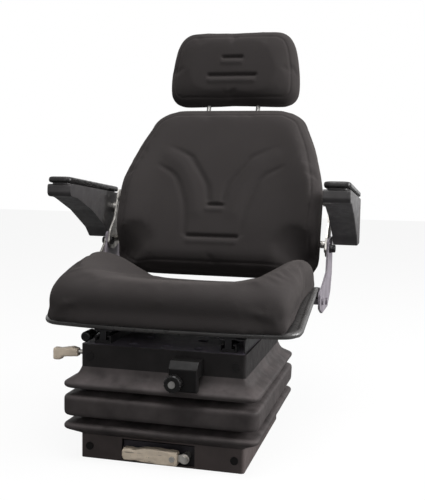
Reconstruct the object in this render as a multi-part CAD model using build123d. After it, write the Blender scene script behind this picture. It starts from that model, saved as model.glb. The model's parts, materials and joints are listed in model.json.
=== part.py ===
from build123d import *
from math import asin, atan2, cos, degrees, radians, sin, tan
import os

# Frame: X towards the right in a front view, Y to the rear, Z up, millimetres.
# The origin is the centre of the base's four floor bolts, on the floor.

# Clearances
RUNNING_GAP = 0.05
FREE_GAP = 0.3
SIDE_PLAY = 2.0

# Bellows and the two bands that hold it
BASE_WIDTH = 300.0
BASE_DEPTH = 330.0
SUSPENSION_HEIGHT = 207.0
LOWER_BAND_HEIGHT = 44.0
UPPER_BAND_HEIGHT = 41.0
BAND_WALL = 3.0
BAND_CORNER = 6.0
BAND_LIP = 6.0
FOLD_REACH = 27.4
FOLD_EDGE = 8.0
ENTRY_RISE = 13.5
EXIT_RISE = 24.5
VALLEY_RISE = 9.0
VALLEY_DEPTH = 15.0
BELLOWS_WALL = 2.5
CLIP_RADIUS = 7.0
CLIP_HEAD = 2.0
CLIP_SHANK_RADIUS = 3.0
CLIP_INSET = 17.0

# Trays
TRAY_WALL = 2.5
TRAY_PLATE = 3.0
TRAY_WALL_HEIGHT = 36.0
TRAY_NOTCH = 9.0
FLOOR_BOLT_X = 160.0
FLOOR_BOLT_Y = 230.0
FLOOR_BOLT_RADIUS = 4.5
PLATE_HOLE_RADIUS = 9.0
PLATE_HOLE_SPACING = 60.0
PLATE_HOLE_ROW = 66.0

# Scissor
ARM_END_ROOM = 60.0
ARM_HALF_WIDTH = 13.0
ARM_THICKNESS = 6.0
ARM_SPACING = 12.0
ARM_INSET = 32.0
REAR_PIVOT_INSET = 30.0
STROKE = 80.0
PIVOT_RADIUS = 8.0
LUG_THICKNESS = 4.0
LUG_RADIUS = 14.0
ROLLER_RADIUS = 12.0
ROLLER_WIDTH = 11.0
CHANNEL_WALL = 2.5
CHANNEL_END = 7.0
BUMP_LENGTH = 20.0
BUMP_WIDTH = 12.0
BUMP_OFFSET = 40.0

# Springs and damper
SPRING_X = 50.0
SPRING_SHARE = 0.53
SPRING_WIRE_RADIUS = 3.0
SPRING_TURNS = 8.0
SPRING_BOSS_HEIGHT = 7.0
DAMPER_PIN_INSET = 25.0
DAMPER_PIN_RADIUS = 5.0
DAMPER_RADIUS = 14.0
DAMPER_WALL = 2.0
DAMPER_PLUG = 6.0
DAMPER_ROD_RADIUS = 5.0
DAMPER_EYE_RADIUS = 10.0
DAMPER_EYE_WIDTH = 20.0
DAMPER_EXPOSED = 52.0
PISTON_LENGTH = 8.0

# Preload lever at the front of the base
PRELOAD_X = 47.0
PRELOAD_Z = 20.0
PRELOAD_STANDOFF = 10.0
PRELOAD_ARM_THICKNESS = 5.0
PRELOAD_ARM_REACH = 90.0
PRELOAD_ARM_HALF_WIDTH = 6.5
PRELOAD_EYE_RADIUS = 9.0
PRELOAD_BOLT_RADIUS = 4.0
PRELOAD_BOLT_HEAD_RADIUS = 6.5
PRELOAD_BOLT_HEAD = 5.0
BRACKET_INSET = 12.0
SLOT_MARGIN = 6.0
GRIP_LENGTH = 102.0
GRIP_GAP = 11.0
GRIP_HEIGHT = 27.0
GRIP_DEPTH = 17.0
GRIP_ROUND = 6.0
GRIP_SCREW_INSET = 9.0
GRIP_SCREW_RADIUS = 2.5
GRIP_SCREW_HEAD_RADIUS = 5.0
GRIP_SCREW_HEAD = 3.0

# Adjuster on the upper band
HOUSING_LEFT = 26.0
HOUSING_WIDTH = 50.0
HOUSING_HEIGHT = 51.0
HOUSING_DROP = 10.0
HOUSING_FOOT = 28.0
HOUSING_DEPTH = 13.5
HOUSING_CLEARANCE = 2.1
HOUSING_BEVEL = 12.0
KNOB_INSET_X = 11.0
KNOB_INSET_Z = 16.0
KNOB_RADIUS = 15.0
KNOB_LENGTH = 14.0
KNOB_FLUTES = 12
FLUTE_RADIUS = 1.8
SPINDLE_RADIUS = 4.0
SPINDLE_DEPTH = 10.0
SPINDLE_NOSE = 3.0
SPINDLE_NOSE_RADIUS = 6.0

# Height lever at the left of the upper band
HEIGHT_LEVER_DROP = 19.0
HEIGHT_LEVER_TURN = 8.0
HEIGHT_ROD_RADIUS = 4.0
HEIGHT_ROD_REACH = 22.0
HEIGHT_EYE_RADIUS = 8.0
HEIGHT_EYE_WIDTH = 8.0
HEIGHT_PIN_RADIUS = 3.0
HEIGHT_GRIP_LENGTH = 48.0
HEIGHT_GRIP_SOCKET = 10.0
HEIGHT_GRIP_THICKNESS = 18.0
HEIGHT_GRIP_WIDTH = 17.0
HEIGHT_PADDLE_WIDTH = 18.0
HEIGHT_PADDLE_HEIGHT = 25.0
GRIP_EDGE = 3.0

# Slide rails and their lever
RAIL_X = 115.0
RAIL_LENGTH = 300.0
RAIL_WIDTH = 30.0
RAIL_HEIGHT = 14.0
RAIL_LIP = 6.5
RAIL_WALL = 2.5
RAIL_STACK = 25.0
UPPER_FOOT_WIDTH = 22.0
UPPER_WEB_WIDTH = 12.0
UPPER_FLANGE_WIDTH = 34.0
UPPER_WALL = 3.0
SLIDE_LEVER_OFFSET = 27.0
SLIDE_LEVER_PIVOT_Y = -30.0
SLIDE_LEVER_LENGTH = 119.0
SLIDE_LEVER_WIDTH = 12.0
SLIDE_LEVER_THICKNESS = 4.0
SLIDE_LEVER_DROP = 14.0
SLIDE_PIN_RADIUS = 4.0
SLIDE_GRIP_RADIUS = 9.0
SLIDE_GRIP_LENGTH = 34.0
LOCK_PLATE_OFFSET = 29.5
LOCK_PLATE_FRONT = -158.0
LOCK_PLATE_LENGTH = 116.0
LOCK_PLATE_HEIGHT = 23.0
LOCK_PLATE_WALL = 2.5

# Seat pan
PAN_HALF_WIDTH = 232.0
PAN_FRONT = -166.0
PAN_BOW = 22.0
PAN_REAR = 205.0
PAN_FRONT_CORNER = 38.0
PAN_REAR_CORNER = 40.0
PAN_WALL = 3.0
PAN_LIP = 6.0
PAN_LIP_HEIGHT = 8.0
PAN_FRONT_RISE = 13.0
PAN_SIDE_RISE = 58.0
PAN_REAR_RISE = 30.0
PAN_FLARE = 45.0

# Seat cushion
CUSHION_INSET = 9.0
CUSHION_NOSE = 25.0
CUSHION_REAR_INSET = 9.0
CUSHION_CREST_RISE = 87.0
CUSHION_REAR_RISE = 52.0
CUSHION_WAIST = 30.0
BOLSTER_RISE = 123.0
BOLSTER_INSET = 24.0

# Recline hinge
RECLINE_INSET = 1.0
RECLINE_RISE = 128.0
RECLINE_PIN_RADIUS = 6.0
RECLINE_HEAD_RADIUS = 9.0
RECLINE_HEAD = 2.0
RECLINE_KNOB_RADIUS = 8.0
RECLINE_KNOB_LENGTH = 8.0
RECLINE_LEVER_REACH = 74.0
RECLINE_LEVER_DROP = 60.0
RECLINE_LEVER_RADIUS = 12.0
RECLINE_LEVER_END_RADIUS = 8.0
RECLINE_LEVER_THICKNESS = 4.0
RECLINE_TAB_RADIUS = 5.0
RECLINE_TAB_LENGTH = 12.0
SIDE_ARM_GAP = 4.0
SIDE_ARM_THICKNESS = 4.0
SIDE_ARM_FOOT = 8.0
SIDE_BOLT_RADIUS = 4.0
SIDE_BOLT_HEAD_RADIUS = 7.0
SIDE_BOLT_HEAD = 4.0

# Backrest, in a frame that leans back with it
LEAN = 20.0
BACK_OFFSET = 17.0
BACK_HALF_WIDTH = 232.0
BACK_BOTTOM = -72.0
BACK_TOP = 316.0
BACK_TAPER = 54.0
PAD_REAR = 12.0
PAD_FRONT = 44.0
PAD_WING = 18.0
SHELL_DEPTH = 24.0
SHELL_WALL = 3.0
SHELL_INSET = 10.0
SHELL_TAPER = 12.0
BRACKET_THICKNESS = 4.0
BRACKET_HEIGHT = 126.0
BRACKET_BOLT_LOW = 13.0
BRACKET_BOLT_HIGH = 107.0
BRACKET_BOLT_RADIUS = 5.0
BRACKET_BOLT_COLLAR = 3.0
BRACKET_BOLT_LENGTH = 36.0

# Armrests
ARMREST_PIVOT_BACK = 48.0
ARMREST_PIVOT_UP = 72.0
ARMREST_PIN_RADIUS = 7.0
ARMREST_PIN_COLLAR = 4.0
ARMREST_PIN_LENGTH = 44.0
ARMREST_BOSS_RADIUS = 14.0
ARMREST_GAP = 5.0
ARMREST_WIDTH = 51.0
ARMREST_WALL = 4.0
ARMREST_COVER = 6.0
ARMREST_LENGTH = 277.0
ARMREST_NOSE = 241.0
ARMREST_TOP = 70.0
ARMREST_BOTTOM = 66.0
ARMREST_TILT = 5.0
ARMREST_PAD = 12.0
ARMREST_GROOVE = 3.0
ARMREST_CORNER = 5.0
ARMREST_NOSE_RADIUS = 10.0
ARMREST_CURVE = 70.0

# Headrest
HEAD_LEAN = 7.0
HEAD_OFFSET = 8.0
HEAD_RISE = 112.6
HEAD_HALF_WIDTH = 155.0
HEAD_TAPER = 22.0
HEAD_LOW = -98.0
HEAD_HIGH = 81.0
HEAD_DEPTH = 76.0
HEAD_TRAVEL = 60.0
POST_X = 58.0
POST_RADIUS = 5.0
POST_ENTRY = 45.0
GUIDE_RADIUS = 8.5
GUIDE_LENGTH = 46.0
GUIDE_FLANGE_RADIUS = 11.0
GUIDE_FLANGE = 2.0

# Places in the base that follow from the sizes above
TRAY_HALF_X = BASE_WIDTH / 2 - BAND_WALL - FREE_GAP
TRAY_HALF_Y = BASE_DEPTH / 2 - BAND_WALL - FREE_GAP
TRAY_CORNER = BAND_CORNER - BAND_WALL
UPPER_BAND_Z = SUSPENSION_HEIGHT - UPPER_BAND_HEIGHT
LOWER_CLIP_Z = LOWER_BAND_HEIGHT / 2
UPPER_CLIP_Z = UPPER_BAND_Z + UPPER_BAND_HEIGHT / 2
OUTER_ARM_X = BASE_WIDTH / 2 - ARM_INSET
INNER_ARM_X = OUTER_ARM_X - ARM_SPACING
LUG_X = OUTER_ARM_X + ARM_THICKNESS / 2 + SIDE_PLAY
LOWER_ROLLER_X = INNER_ARM_X + ARM_THICKNESS / 2 + SIDE_PLAY
UPPER_ROLLER_X = OUTER_ARM_X + ARM_THICKNESS / 2 + SIDE_PLAY
REAR_PIVOT_Y = BASE_DEPTH / 2 - REAR_PIVOT_INSET
PIVOT_RISE = TRAY_PLATE + CHANNEL_WALL + FREE_GAP + ROLLER_RADIUS
LOW_PIVOT_Z = PIVOT_RISE
HIGH_PIVOT_Z = SUSPENSION_HEIGHT - PIVOT_RISE
ARM_RISE = HIGH_PIVOT_Z - LOW_PIVOT_Z
ARM_LENGTH = BASE_DEPTH - ARM_END_ROOM
ARM_ANGLE = asin(ARM_RISE / ARM_LENGTH)
LOW_ANGLE = asin((ARM_RISE - STROKE) / ARM_LENGTH)
FRONT_PIVOT_Y = REAR_PIVOT_Y - ARM_LENGTH * cos(ARM_ANGLE)
FRONT_LIMIT_Y = REAR_PIVOT_Y - ARM_LENGTH * cos(LOW_ANGLE)
CENTRE_Y = (REAR_PIVOT_Y + FRONT_PIVOT_Y) / 2
CENTRE_Z = (LOW_PIVOT_Z + HIGH_PIVOT_Z) / 2
CHANNEL_FRONT = FRONT_LIMIT_Y - ROLLER_RADIUS - CHANNEL_END
CHANNEL_REAR = FRONT_PIVOT_Y + ROLLER_RADIUS + CHANNEL_END
DAMPER_REACH = ARM_LENGTH / 2 - DAMPER_PIN_INSET
DAMPER_Z = CENTRE_Z - DAMPER_REACH * sin(ARM_ANGLE)
DAMPER_REAR_Y = CENTRE_Y + DAMPER_REACH * cos(ARM_ANGLE)
DAMPER_FRONT_Y = CENTRE_Y - DAMPER_REACH * cos(ARM_ANGLE)
DAMPER_TUBE_LENGTH = DAMPER_REAR_Y - DAMPER_FRONT_Y - DAMPER_EXPOSED
BUMP_Y = REAR_PIVOT_Y - BUMP_OFFSET
SPRING_ROOM = DAMPER_REAR_Y - DAMPER_PIN_RADIUS - CENTRE_Y - PIVOT_RADIUS
SPRING_Y = CENTRE_Y + PIVOT_RADIUS + SPRING_ROOM / 2
SPRING_RADIUS = SPRING_SHARE * SPRING_ROOM / 2
SPRING_BOSS_RADIUS = SPRING_RADIUS - SPRING_WIRE_RADIUS - 5 * FREE_GAP

# Places of the levers and the adjuster
PRELOAD_ARM_Y = -BASE_DEPTH / 2 - PRELOAD_STANDOFF
BRACKET_Y = -BASE_DEPTH / 2 + BRACKET_INSET
GRIP_RIGHT = PRELOAD_X - GRIP_GAP
GRIP_LEFT = GRIP_RIGHT - GRIP_LENGTH
GRIP_SCREW_X = GRIP_RIGHT - GRIP_SCREW_INSET
HOUSING_TOP = SUSPENSION_HEIGHT - HOUSING_DROP
HOUSING_BOTTOM = HOUSING_TOP - HOUSING_HEIGHT
HOUSING_REAR = -BASE_DEPTH / 2 - FOLD_REACH - HOUSING_CLEARANCE
HOUSING_FRONT = HOUSING_REAR - HOUSING_DEPTH
KNOB_X = HOUSING_LEFT + KNOB_INSET_X
KNOB_Z = HOUSING_BOTTOM + KNOB_INSET_Z
HEIGHT_LEVER_X = -OUTER_ARM_X
HEIGHT_LEVER_Y = CHANNEL_FRONT - HEIGHT_EYE_RADIUS
HEIGHT_LEVER_Z = SUSPENSION_HEIGHT - HEIGHT_LEVER_DROP
HEIGHT_ROD_END = -BASE_WIDTH / 2 - HEIGHT_ROD_REACH
PAN_BASE = SUSPENSION_HEIGHT + RAIL_STACK
PAN_FLOOR = PAN_BASE + PAN_WALL
SLIDE_LEVER_X = -RAIL_X - SLIDE_LEVER_OFFSET
SLIDE_LEVER_Z = PAN_BASE - SLIDE_LEVER_DROP
SLIDE_LEVER_END = SLIDE_LEVER_PIVOT_Y - SLIDE_LEVER_LENGTH
LOCK_PLATE_X = RAIL_X + LOCK_PLATE_OFFSET

# Places of the seat, the hinges and the upper cushions
CUSHION_HALF_WIDTH = PAN_HALF_WIDTH + PAN_LIP - CUSHION_INSET
CUSHION_FRONT = PAN_FRONT - CUSHION_NOSE
CUSHION_REAR = PAN_REAR - CUSHION_REAR_INSET
CUSHION_CREST = PAN_BASE + CUSHION_CREST_RISE
CUSHION_REAR_TOP = PAN_BASE + CUSHION_REAR_RISE
BOLSTER_TOP = PAN_BASE + BOLSTER_RISE
BOLSTER_X = CUSHION_HALF_WIDTH - BOLSTER_INSET
SIDE_ARM_X = PAN_HALF_WIDTH + PAN_LIP + SIDE_ARM_GAP
BRACKET_X = SIDE_ARM_X - FREE_GAP - BRACKET_THICKNESS
LEVER_X = SIDE_ARM_X + SIDE_ARM_THICKNESS + FREE_GAP
KNOB_FACE_X = LEVER_X + RECLINE_LEVER_THICKNESS + FREE_GAP
RECLINE_Y = PAN_REAR - RECLINE_INSET
RECLINE_Z = PAN_BASE + RECLINE_RISE
ARMREST_X = SIDE_ARM_X + SIDE_ARM_THICKNESS + ARMREST_GAP
ARMREST_PIVOT_Y = RECLINE_Y + ARMREST_PIVOT_BACK
ARMREST_PIVOT_Z = RECLINE_Z + ARMREST_PIVOT_UP
ARMREST_FRONT_Y = ARMREST_PIVOT_Y - ARMREST_NOSE
ARMREST_TOP_Z = ARMREST_PIVOT_Z + ARMREST_TOP
BACK = Pos(0, RECLINE_Y + BACK_OFFSET, RECLINE_Z) * Rot(-LEAN, 0, 0)
HEAD = BACK * Pos(0, HEAD_OFFSET, BACK_TOP + HEAD_RISE) * Rot(LEAN - HEAD_LEAN, 0, 0)
POST_DEPTH = PAD_REAR + FREE_GAP + SHELL_DEPTH / 2
GUIDE_TOP = BACK_TOP - SHELL_INSET
WIDE = 1000.0


def block(x0, x1, y0, y1, z0, z1):
    """A box between two corners."""
    return Pos((x0 + x1) / 2, (y0 + y1) / 2, (z0 + z1) / 2) * Box(x1 - x0, y1 - y0, z1 - z0)


def rod_x(y, z, radius, x0, x1):
    """A round bar along X."""
    return Pos((x0 + x1) / 2, y, z) * Rot(0, 90, 0) * Cylinder(radius, x1 - x0)


def rod_y(x, z, radius, y0, y1):
    """A round bar along Y."""
    return Pos(x, (y0 + y1) / 2, z) * Rot(90, 0, 0) * Cylinder(radius, y1 - y0)


def rod_z(x, y, radius, z0, z1):
    """A round bar along Z."""
    return Pos(x, y, (z0 + z1) / 2) * Cylinder(radius, z1 - z0)


def outline(points, radius=None):
    """A closed outline through the points, with rounded corners where a radius is given."""
    if radius:
        return make_face(FilletPolyline(*points, radius=radius, close=True))
    return make_face(Polyline(*points, close=True))


def plate_x(points, x0, x1, radius=None):
    """A plate of the (y, z) outline between two X planes."""
    return extrude(Plane.YZ.offset(x0) * outline(points, radius), x1 - x0)


def plate_y(points, y0, y1, radius=None):
    """A plate of the (x, z) outline between two Y planes."""
    return extrude(Plane.XZ.offset(-y1) * outline(points, radius), y1 - y0)


def round_box(half_x, half_y, radius, z0, z1):
    """An upright prism with a rounded rectangle for its plan."""
    return extrude(Pos(0, 0, z0) * RectangleRounded(2 * half_x, 2 * half_y, radius), z1 - z0)


def both_sides(solid):
    """The piece at +X and its mirror image at -X, as one group."""
    return solid + mirror(solid, about=Plane.YZ)


def at_left(solid):
    """The mirror image of a piece across the seat's middle plane."""
    return mirror(solid, about=Plane.YZ)


def row_value(rows, place, column):
    """A value between the rows of a table whose first column is the place."""
    if place <= rows[0][0]:
        return rows[0][column]
    for low, high in zip(rows, rows[1:]):
        if place <= high[0]:
            share = (place - low[0]) / (high[0] - low[0])
            return low[column] + share * (high[column] - low[column])
    return rows[-1][column]


def in_back_frame(y, z):
    """(depth, height) of a place in the backrest's leaning frame."""
    behind = y - RECLINE_Y - BACK_OFFSET
    above = z - RECLINE_Z
    turn = radians(LEAN)
    return behind * cos(turn) - above * sin(turn), behind * sin(turn) + above * cos(turn)


def band(z0, z1, lip_z):
    """A rigid frame around a tray, with an inward lip that holds the bellows."""
    half_x = BASE_WIDTH / 2
    half_y = BASE_DEPTH / 2
    outer = round_box(half_x, half_y, BAND_CORNER, z0, z1)
    inner = round_box(half_x - BAND_WALL, half_y - BAND_WALL, TRAY_CORNER, z0, z1)
    lip = round_box(half_x - BAND_WALL, half_y - BAND_WALL, TRAY_CORNER, lip_z, lip_z + BAND_WALL)
    inset = BAND_WALL + BAND_LIP
    mouth = round_box(half_x - inset, half_y - inset, TRAY_CORNER, lip_z, lip_z + BAND_WALL)
    return outer - inner + (lip - mouth)


def tray(z0, z1, plate_z):
    """A folded tray: a plate with a wall along each side, notched open at the corners."""
    side_end = TRAY_HALF_Y - TRAY_NOTCH
    front_end = TRAY_HALF_X - TRAY_NOTCH
    wall = block(TRAY_HALF_X - TRAY_WALL, TRAY_HALF_X, -side_end, side_end, z0, z1)
    front = block(-front_end, front_end, -TRAY_HALF_Y, TRAY_WALL - TRAY_HALF_Y, z0, z1)
    plate = round_box(TRAY_HALF_X, TRAY_HALF_Y, TRAY_CORNER, plate_z, plate_z + TRAY_PLATE)
    return plate + both_sides(wall) + front + mirror(front, about=Plane.XZ)


def clips(z):
    """Push-in clips of one band: a round head on its face and a shank through it."""
    face = BASE_DEPTH / 2
    inside = face - BAND_WALL - FREE_GAP - TRAY_WALL
    made = []
    for x in (CLIP_INSET - BASE_WIDTH / 2, BASE_WIDTH / 2 - CLIP_INSET):
        for side in (-1, 1):
            head = sorted((side * (face + CLIP_HEAD), side * face))
            shank = sorted((side * face, side * inside))
            made.append(rod_y(x, z, CLIP_RADIUS, *head) + rod_y(x, z, CLIP_SHANK_RADIUS, *shank))
    return Part() + made


def clip_holes(z):
    """Clearance for the clips' shanks."""
    reach = BASE_DEPTH / 2 + 1
    radius = CLIP_SHANK_RADIUS + RUNNING_GAP
    places = (CLIP_INSET - BASE_WIDTH / 2, BASE_WIDTH / 2 - CLIP_INSET)
    return Part() + [rod_y(x, z, radius, -reach, reach) for x in places]


def preload_slot():
    """The opening in the base's front wall behind the preload lever."""
    x0 = GRIP_LEFT - SLOT_MARGIN
    x1 = PRELOAD_X + PRELOAD_EYE_RADIUS + SLOT_MARGIN
    top = LOWER_BAND_HEIGHT - BAND_WALL
    return block(x0, x1, -BASE_DEPTH / 2 - 1, BRACKET_Y - TRAY_WALL - 1, TRAY_PLATE, top)


def height_slot():
    """The slot in the upper band and tray for the height lever's rod."""
    wall = -BASE_WIDTH / 2
    radius = HEIGHT_ROD_RADIUS + 2 * FREE_GAP
    rise = (HEIGHT_LEVER_X - wall) * tan(radians(HEIGHT_LEVER_TURN)) + FREE_GAP
    x1 = -TRAY_HALF_X + TRAY_WALL + 1
    low = HEIGHT_LEVER_Z - radius
    high = HEIGHT_LEVER_Z + radius + rise
    return block(wall - 1, x1, HEIGHT_LEVER_Y - radius, HEIGHT_LEVER_Y + radius, low, high)


def pivot_lugs(z, plate_z):
    """Lugs bent from a tray, with bores for its rear pivot shaft."""
    x1 = LUG_X + LUG_THICKNESS
    low = min(z, plate_z)
    high = max(z, plate_z)
    neck = block(LUG_X, x1, REAR_PIVOT_Y - LUG_RADIUS, REAR_PIVOT_Y + LUG_RADIUS, low, high)
    bore = rod_x(REAR_PIVOT_Y, z, PIVOT_RADIUS + RUNNING_GAP, LUG_X - 1, x1 + 1)
    return both_sides(neck + rod_x(REAR_PIVOT_Y, z, LUG_RADIUS, LUG_X, x1) - bore)


def base_tray():
    """Floor tray with bolt holes, spring seats, rear lugs and the preload bracket."""
    made = tray(0, TRAY_WALL_HEIGHT, 0)
    for x in (-SPRING_X, SPRING_X):
        made += rod_z(x, SPRING_Y, SPRING_BOSS_RADIUS, TRAY_PLATE, TRAY_PLATE + SPRING_BOSS_HEIGHT)
    for x in (-FLOOR_BOLT_X / 2, FLOOR_BOLT_X / 2):
        for y in (-FLOOR_BOLT_Y / 2, FLOOR_BOLT_Y / 2):
            made -= rod_z(x, y, FLOOR_BOLT_RADIUS, -1, TRAY_PLATE + 1)
    made -= preload_slot()
    made -= clip_holes(LOWER_CLIP_Z)
    x0 = GRIP_LEFT - SLOT_MARGIN
    x1 = PRELOAD_X + PRELOAD_EYE_RADIUS + SLOT_MARGIN
    y0 = BRACKET_Y - TRAY_WALL
    bracket = block(x0, x1, y0, BRACKET_Y, TRAY_PLATE, TRAY_WALL_HEIGHT)
    made += bracket - rod_y(PRELOAD_X, PRELOAD_Z, PRELOAD_BOLT_RADIUS, y0 - 1, BRACKET_Y + 1)
    return made + pivot_lugs(LOW_PIVOT_Z, TRAY_PLATE)


def height_hanger():
    """Tab with a pin that carries the height lever under the top tray's plate."""
    x = HEIGHT_LEVER_X
    y1 = HEIGHT_LEVER_Y - HEIGHT_EYE_WIDTH / 2 - FREE_GAP
    y0 = y1 - TRAY_WALL
    under = SUSPENSION_HEIGHT - TRAY_PLATE
    half = 2 * HEIGHT_PIN_RADIUS
    tab = block(x - half, x + half, y0, y1, HEIGHT_LEVER_Z - half, under)
    return tab + rod_y(x, HEIGHT_LEVER_Z, HEIGHT_PIN_RADIUS, y1, HEIGHT_LEVER_Y + HEIGHT_EYE_WIDTH / 2)


def top_tray():
    """Upper tray with spring seats, rear lugs, the lever's tab and holes in its plate."""
    top = SUSPENSION_HEIGHT
    under = top - TRAY_PLATE
    made = tray(top - TRAY_WALL_HEIGHT, top, under)
    for x in (-SPRING_X, SPRING_X):
        made += rod_z(x, SPRING_Y, SPRING_BOSS_RADIUS, under - SPRING_BOSS_HEIGHT, under)
        made -= rod_z(x, CHANNEL_FRONT + PLATE_HOLE_ROW, PLATE_HOLE_RADIUS, under - 1, top + 1)
    for x in (-PLATE_HOLE_SPACING, 0, PLATE_HOLE_SPACING):
        made -= rod_z(x, CHANNEL_FRONT, PLATE_HOLE_RADIUS, under - 1, top + 1)
    made -= clip_holes(UPPER_CLIP_Z)
    made -= height_slot()
    return made + pivot_lugs(HIGH_PIVOT_Z, under) + height_hanger()


def lower_band():
    """Black frame round the base tray, cut away behind the preload lever."""
    made = band(0, LOWER_BAND_HEIGHT, LOWER_BAND_HEIGHT - BAND_WALL)
    return made - preload_slot() - clip_holes(LOWER_CLIP_Z)


def upper_band():
    """Black frame round the top tray, with the height lever's slot."""
    made = band(UPPER_BAND_Z, SUSPENSION_HEIGHT, UPPER_BAND_Z)
    return made - clip_holes(UPPER_CLIP_Z) - height_slot()


def bellows_creases():
    """(height, outer reach, inner height, inner reach) of each crease, from the bottom up."""
    wall = BELLOWS_WALL
    fixed = ENTRY_RISE + EXIT_RISE + 2 * FOLD_EDGE + 4 * VALLEY_RISE
    middle = UPPER_BAND_Z - LOWER_BAND_HEIGHT - fixed
    z = LOWER_BAND_HEIGHT
    rows = [(z, 0.0, z, -wall)]
    for rise, edge in ((ENTRY_RISE, FOLD_EDGE), (VALLEY_RISE, middle), (VALLEY_RISE, FOLD_EDGE)):
        z += rise
        rows.append((z, FOLD_REACH, z + wall / 2, FOLD_REACH - wall))
        z += edge
        rows.append((z, FOLD_REACH, z - wall / 2, FOLD_REACH - wall))
        z += VALLEY_RISE
        rows.append((z, -VALLEY_DEPTH, z, -VALLEY_DEPTH - wall))
    rows[-1] = (UPPER_BAND_Z, 0.0, UPPER_BAND_Z, -wall)
    return rows


def fold_stack(rows):
    """Stacked rings of straight slopes through (height, reach) rows."""
    made = Part()
    for low, high in zip(rows, rows[1:]):
        plans = []
        for z, reach in (low, high):
            radius = BAND_CORNER + max(reach, 0) / 2
            plan = RectangleRounded(BASE_WIDTH + 2 * reach, BASE_DEPTH + 2 * reach, radius)
            plans.append(Pos(0, 0, z) * plan)
        made += loft(plans, ruled=True)
    return made


def bellows():
    """Rubber bellows with three folds between the bands."""
    rows = bellows_creases()
    outer = fold_stack([(row[0], row[1]) for row in rows])
    return outer - fold_stack([(row[2], row[3]) for row in rows])


def scissor_arm(turn, x, bores):
    """A scissor arm between its two end pivots, with round ends and its bores."""
    slot = SlotCenterToCenter(ARM_LENGTH, 2 * ARM_HALF_WIDTH)
    place = Pos(CENTRE_Y, CENTRE_Z) * Rot(0, 0, turn)
    made = extrude(Plane.YZ.offset(x - ARM_THICKNESS / 2) * place * slot, ARM_THICKNESS)
    for y, z, radius in bores:
        made -= rod_x(y, z, radius, x - ARM_THICKNESS, x + ARM_THICKNESS)
    return made


def outer_arm():
    """Outer scissor arm: hinged at the rear of the base, roller at its upper front end."""
    bores = [
        (REAR_PIVOT_Y, LOW_PIVOT_Z, PIVOT_RADIUS),
        (FRONT_PIVOT_Y, HIGH_PIVOT_Z, PIVOT_RADIUS),
        (CENTRE_Y, CENTRE_Z, PIVOT_RADIUS + RUNNING_GAP),
        (DAMPER_REAR_Y, DAMPER_Z, DAMPER_PIN_RADIUS),
    ]
    return scissor_arm(-degrees(ARM_ANGLE), OUTER_ARM_X, bores)


def inner_arm():
    """Inner scissor arm: hinged at the rear of the top tray, roller at its lower front end."""
    bores = [
        (FRONT_PIVOT_Y, LOW_PIVOT_Z, PIVOT_RADIUS),
        (REAR_PIVOT_Y, HIGH_PIVOT_Z, PIVOT_RADIUS),
        (CENTRE_Y, CENTRE_Z, PIVOT_RADIUS),
        (DAMPER_FRONT_Y, DAMPER_Z, DAMPER_PIN_RADIUS),
    ]
    return scissor_arm(degrees(ARM_ANGLE), INNER_ARM_X, bores)


def shaft(y, z, radius, reach):
    """A cross shaft, centred on the middle plane."""
    return rod_x(y, z, radius, -reach, reach)


def rollers(z, x):
    """The pair of rollers on one shaft, whose inner faces are at x."""
    wheel = rod_x(FRONT_PIVOT_Y, z, ROLLER_RADIUS, x, x + ROLLER_WIDTH)
    bore = rod_x(FRONT_PIVOT_Y, z, PIVOT_RADIUS + RUNNING_GAP, x - 1, x + ROLLER_WIDTH + 1)
    return both_sides(wheel - bore)


def roller_channels(z, x):
    """A pair of C-shaped channels round the rollers, open towards the middle."""
    low = z - ROLLER_RADIUS - FREE_GAP
    high = z + ROLLER_RADIUS + FREE_GAP
    mouth = x - SIDE_PLAY / 2
    web = x + ROLLER_WIDTH + SIDE_PLAY / 2
    wall = CHANNEL_WALL
    made = block(mouth, web + wall, CHANNEL_FRONT, CHANNEL_REAR, low - wall, high + wall)
    return both_sides(made - block(mouth - 1, web, CHANNEL_FRONT - 1, CHANNEL_REAR + 1, low, high))


def damper_eye(y):
    """The damper's round eye on a pin, and the bore that goes through it."""
    half = DAMPER_EYE_WIDTH / 2
    eye = rod_x(y, DAMPER_Z, DAMPER_EYE_RADIUS, -half, half)
    return eye, rod_x(y, DAMPER_Z, DAMPER_PIN_RADIUS + RUNNING_GAP, -2 * half, 2 * half)


def damper_tube():
    """Damper body with its rear eye, closed at the rear and bored for the rod in front."""
    eye, bore = damper_eye(DAMPER_REAR_Y)
    rear = DAMPER_REAR_Y - DAMPER_EYE_RADIUS + DAMPER_WALL
    front = rear - DAMPER_TUBE_LENGTH
    radius = DAMPER_RADIUS - DAMPER_WALL
    body = rod_y(0, DAMPER_Z, DAMPER_RADIUS, front, rear)
    chamber = rod_y(0, DAMPER_Z, radius, front + DAMPER_PLUG, rear - DAMPER_PLUG)
    mouth = rod_y(0, DAMPER_Z, DAMPER_ROD_RADIUS + RUNNING_GAP, front - 1, front + DAMPER_PLUG + 1)
    return body + eye - chamber - mouth - bore


def damper_rod():
    """Damper rod with its front eye, and its piston inside the tube."""
    eye, bore = damper_eye(DAMPER_FRONT_Y)
    tail = DAMPER_REAR_Y - DAMPER_EYE_RADIUS - DAMPER_PLUG - SIDE_PLAY
    rod = rod_y(0, DAMPER_Z, DAMPER_ROD_RADIUS, DAMPER_FRONT_Y, tail)
    radius = DAMPER_RADIUS - DAMPER_WALL - RUNNING_GAP
    return rod + rod_y(0, DAMPER_Z, radius, tail - PISTON_LENGTH, tail) + eye - bore


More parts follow.
